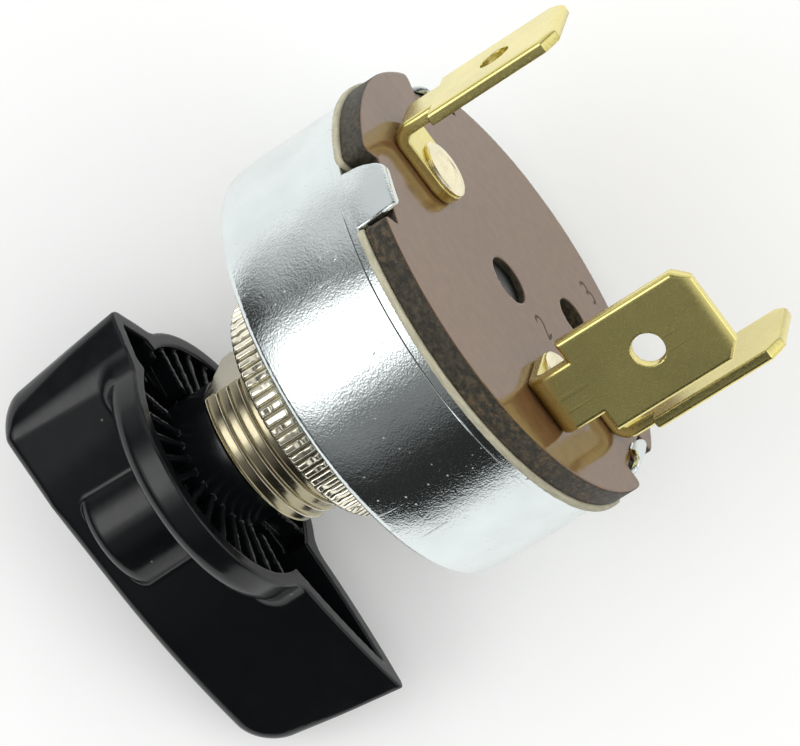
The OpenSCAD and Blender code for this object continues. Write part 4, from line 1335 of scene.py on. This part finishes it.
class SWITCH_OT_stage(bpy.types.Operator):
    """Camera, pale floor, two soft lamps and a dim room"""
    bl_idname = "switch.stage"
    bl_label = "Stage"

    def execute(self, context):
        stage = sizes(context).stage
        scene = context.scene
        right = Vector(VIEW_RIGHT).normalized()
        ahead = right.cross(Vector(VIEW_DOWN)).normalized()
        up = right.cross(ahead)
        data = bpy.data.cameras.new("camera")
        data.lens = LENS
        data.sensor_width = SENSOR
        data.sensor_fit = "HORIZONTAL"
        data.clip_start, data.clip_end = CLIP
        camera = added("camera", data)
        camera.matrix_world = Matrix((right, up, -ahead)).transposed().to_4x4()
        camera.location = CAMERA_PLACE
        scene.camera = camera
        scene.view_settings.view_transform = "Standard"
        self.floor(stage, right, up, ahead)
        self.lamps(stage, right, up, ahead)
        self.room(stage, ahead, -up)
        self.gloom(stage, right, up, ahead)
        return {"FINISHED"}

    def floor(self, stage, right, up, ahead):
        """A plane square to the view that just touches the object, seen from its front side only."""
        depth = max((mesh_points(node.data) @ np.array(ahead)).max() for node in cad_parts.values())
        centre = ahead * (depth + FLOOR_GAP)
        aside, along = right * FLOOR_REACH, up * FLOOR_REACH
        near, far = centre - along, centre + along
        corners = [near - aside, near + aside, far + aside, far - aside]
        mesh = bpy.data.meshes.new("floor")
        mesh.from_pydata(corners, [], [(0, 1, 2, 3)])
        finish = Finish("pale_floor", stage.floor, 0.8)
        finish.set("Specular IOR Level", 0.0)
        finish.set("Emission Color", (1, 1, 1, 1))
        finish.set("Emission Strength", finish.math("MULTIPLY", self.shown(finish), stage.glow))
        grain = finish.noise(60, 2)
        light, dark = shades(stage.floor, 1.0, 0.985)
        finish.set("Base Color", finish.ramp(grain, (0.3, dark), (0.7, light)))
        facing = finish.node("ShaderNodeNewGeometry").outputs["Backfacing"]
        clear = finish.node("ShaderNodeBsdfTransparent")
        inputs = {0: facing, 1: finish.shader.outputs[0], 2: clear.outputs[0]}
        blend = finish.node("ShaderNodeMixShader", inputs)
        finish.fill(finish.tree.nodes["Material Output"].inputs["Surface"], blend.outputs[0])
        mesh.materials.append(finish.material)
        floor = added("floor", mesh)
        floor.visible_diffuse = False

    def lamp_ways(self, stage, right, up, ahead):
        """Directions from the object to the left and the right lamp."""
        for side in (-1, 1):
            flat = right * (side * math.cos(stage.lamp_turn)) - up * math.sin(stage.lamp_turn)
            yield flat * math.cos(stage.lamp_rise) - ahead * math.sin(stage.lamp_rise)

    def lamps(self, stage, right, up, ahead):
        """A soft lamp on each side, raised above the floor and facing the object."""
        powers = (stage.key_power, stage.side_power)
        for way, power in zip(self.lamp_ways(stage, right, up, ahead), powers):
            data = bpy.data.lights.new("soft_lamp", "AREA")
            data.shape = "RECTANGLE"
            data.size = 2 * stage.lamp_distance * math.tan(stage.lamp_wide)
            data.size_y = 2 * stage.lamp_distance * math.tan(stage.lamp_tall)
            data.energy = power
            lamp = added("soft_lamp", data)
            lamp.location = way * stage.lamp_distance
            lamp.rotation_mode = "QUATERNION"
            across = way.cross(-ahead).normalized()
            lamp.rotation_quaternion = Matrix((across, way.cross(across), way)).transposed().to_quaternion()
            lamp.visible_camera = False

    def shown(self, nodes):
        """One for rays from the camera, from reflections and through clear surfaces."""
        path = nodes.node("ShaderNodeLightPath").outputs
        seen = nodes.math("MAXIMUM", path["Is Camera Ray"], path["Is Glossy Ray"])
        return nodes.math("MAXIMUM", seen, path["Is Transmission Ray"])

    def towards(self, nodes, coordinates, way, span, values):
        """A value that changes softly with the cosine between a place's direction and a given one."""
        place = nodes.node("ShaderNodeTexCoord").outputs[coordinates]
        even = nodes.node("ShaderNodeVectorMath", {0: place}, operation="NORMALIZE").outputs[0]
        dot = nodes.node("ShaderNodeVectorMath", {0: even, 1: way}, operation="DOT_PRODUCT")
        inputs = dict(zip(("From Min", "From Max", "To Min", "To Max"), (*span, *values)))
        inputs["Value"] = dot.outputs["Value"]
        return nodes.node("ShaderNodeMapRange", inputs, interpolation_type="SMOOTHSTEP").outputs[0]

    def room(self, stage, ahead, down):
        """White behind the object, with a fill on it that is weaker from below the picture."""
        world = bpy.data.worlds.new("room")
        world.use_nodes = True
        nodes = Nodes(world.node_tree)
        fill = self.towards(nodes, "Generated", ahead, FILL_COS, (stage.fill, stage.bounce))
        shade = self.towards(nodes, "Generated", down, SHADE_COS, (1, stage.shade / stage.fill))
        fill = nodes.math("MULTIPLY", fill, shade)
        mix = nodes.node("ShaderNodeMix", {0: self.shown(nodes), 2: fill, 3: 1.0})
        background = world.node_tree.nodes["Background"]
        nodes.fill(background.inputs["Color"], (1, 1, 1, 1))
        nodes.fill(background.inputs["Strength"], mix.outputs[0])
        bpy.context.scene.world = world

    def gloom(self, stage, right, up, ahead):
        """A dark shell that only reflections show, paler round the left lamp, with two white cards."""
        mesh = bpy.data.meshes.new("dark_room")
        edit = bmesh.new()
        bmesh.ops.create_icosphere(edit, subdivisions=3, radius=3 * stage.lamp_distance)
        edit.to_mesh(mesh)
        edit.free()
        dark = bpy.data.materials.new("dark_room")
        dark.use_nodes = True
        nodes = Nodes(dark.node_tree)
        view = Matrix((right, up, ahead)).transposed()
        above, below = ((view @ Vector(way)).normalized() for way in (TOP_WAY, HALO_WAY))
        key, side = self.lamp_ways(stage, right, up, ahead)
        halo = self.towards(nodes, "Object", below, HALO_COS, (stage.gloom, stage.halo))
        lights = ((key, SHINE_COS, stage.shine), (side, CARD_COS, stage.card), (above, TOP_COS, stage.sky))
        for way, span, strength in lights:
            light = self.towards(nodes, "Object", way, span, (0, strength))
            halo = nodes.math("MAXIMUM", halo, light)
        glow = nodes.node("ShaderNodeEmission", {"Strength": halo})
        nodes.fill(dark.node_tree.nodes["Material Output"].inputs["Surface"], glow.outputs[0])
        mesh.materials.append(dark)
        shell = added("dark_room", mesh)
        for rays in ("camera", "diffuse", "transmission", "volume_scatter", "shadow"):
            setattr(shell, f"visible_{rays}", False)


OPERATORS = (SWITCH_OT_cup, SWITCH_OT_board, SWITCH_OT_tabs, SWITCH_OT_bushing, SWITCH_OT_knob,
             SWITCH_OT_spring, SWITCH_OT_inside, SWITCH_OT_stage)


class SWITCH_PT_panel(bpy.types.Panel):
    """Lists the pieces of the switch in the sidebar"""
    bl_idname = "SWITCH_PT_panel"
    bl_label = "Panel rotary switch"
    bl_space_type = "VIEW_3D"
    bl_region_type = "UI"
    bl_category = "Switch"

    def draw(self, context):
        for operator in OPERATORS:
            self.layout.operator(operator.bl_idname)


GROUPS = (CupSizes, BoardSizes, TabSizes, BushingSizes, KnobSizes, SpringSizes, Finishes, StageSettings,
          SwitchSizes)
CLASSES = (*GROUPS, *OPERATORS, SWITCH_PT_panel)


def register():
    """Registers the groups, operators and panel, and gives the scene its sizes."""
    for each in CLASSES:
        bpy.utils.register_class(each)
    bpy.types.Scene.switch = PointerProperty(type=SwitchSizes)


def unregister():
    """Takes back what register() has done."""
    del bpy.types.Scene.switch
    for each in reversed(CLASSES):
        bpy.utils.unregister_class(each)


def main():
    """Builds every piece and the stage."""
    register()
    bpy.ops.switch.cup()
    bpy.ops.switch.board()
    bpy.ops.switch.tabs()
    bpy.ops.switch.bushing()
    bpy.ops.switch.knob()
    bpy.ops.switch.spring()
    bpy.ops.switch.inside()
    bpy.ops.switch.stage()


if __name__ == "__main__":
    main()
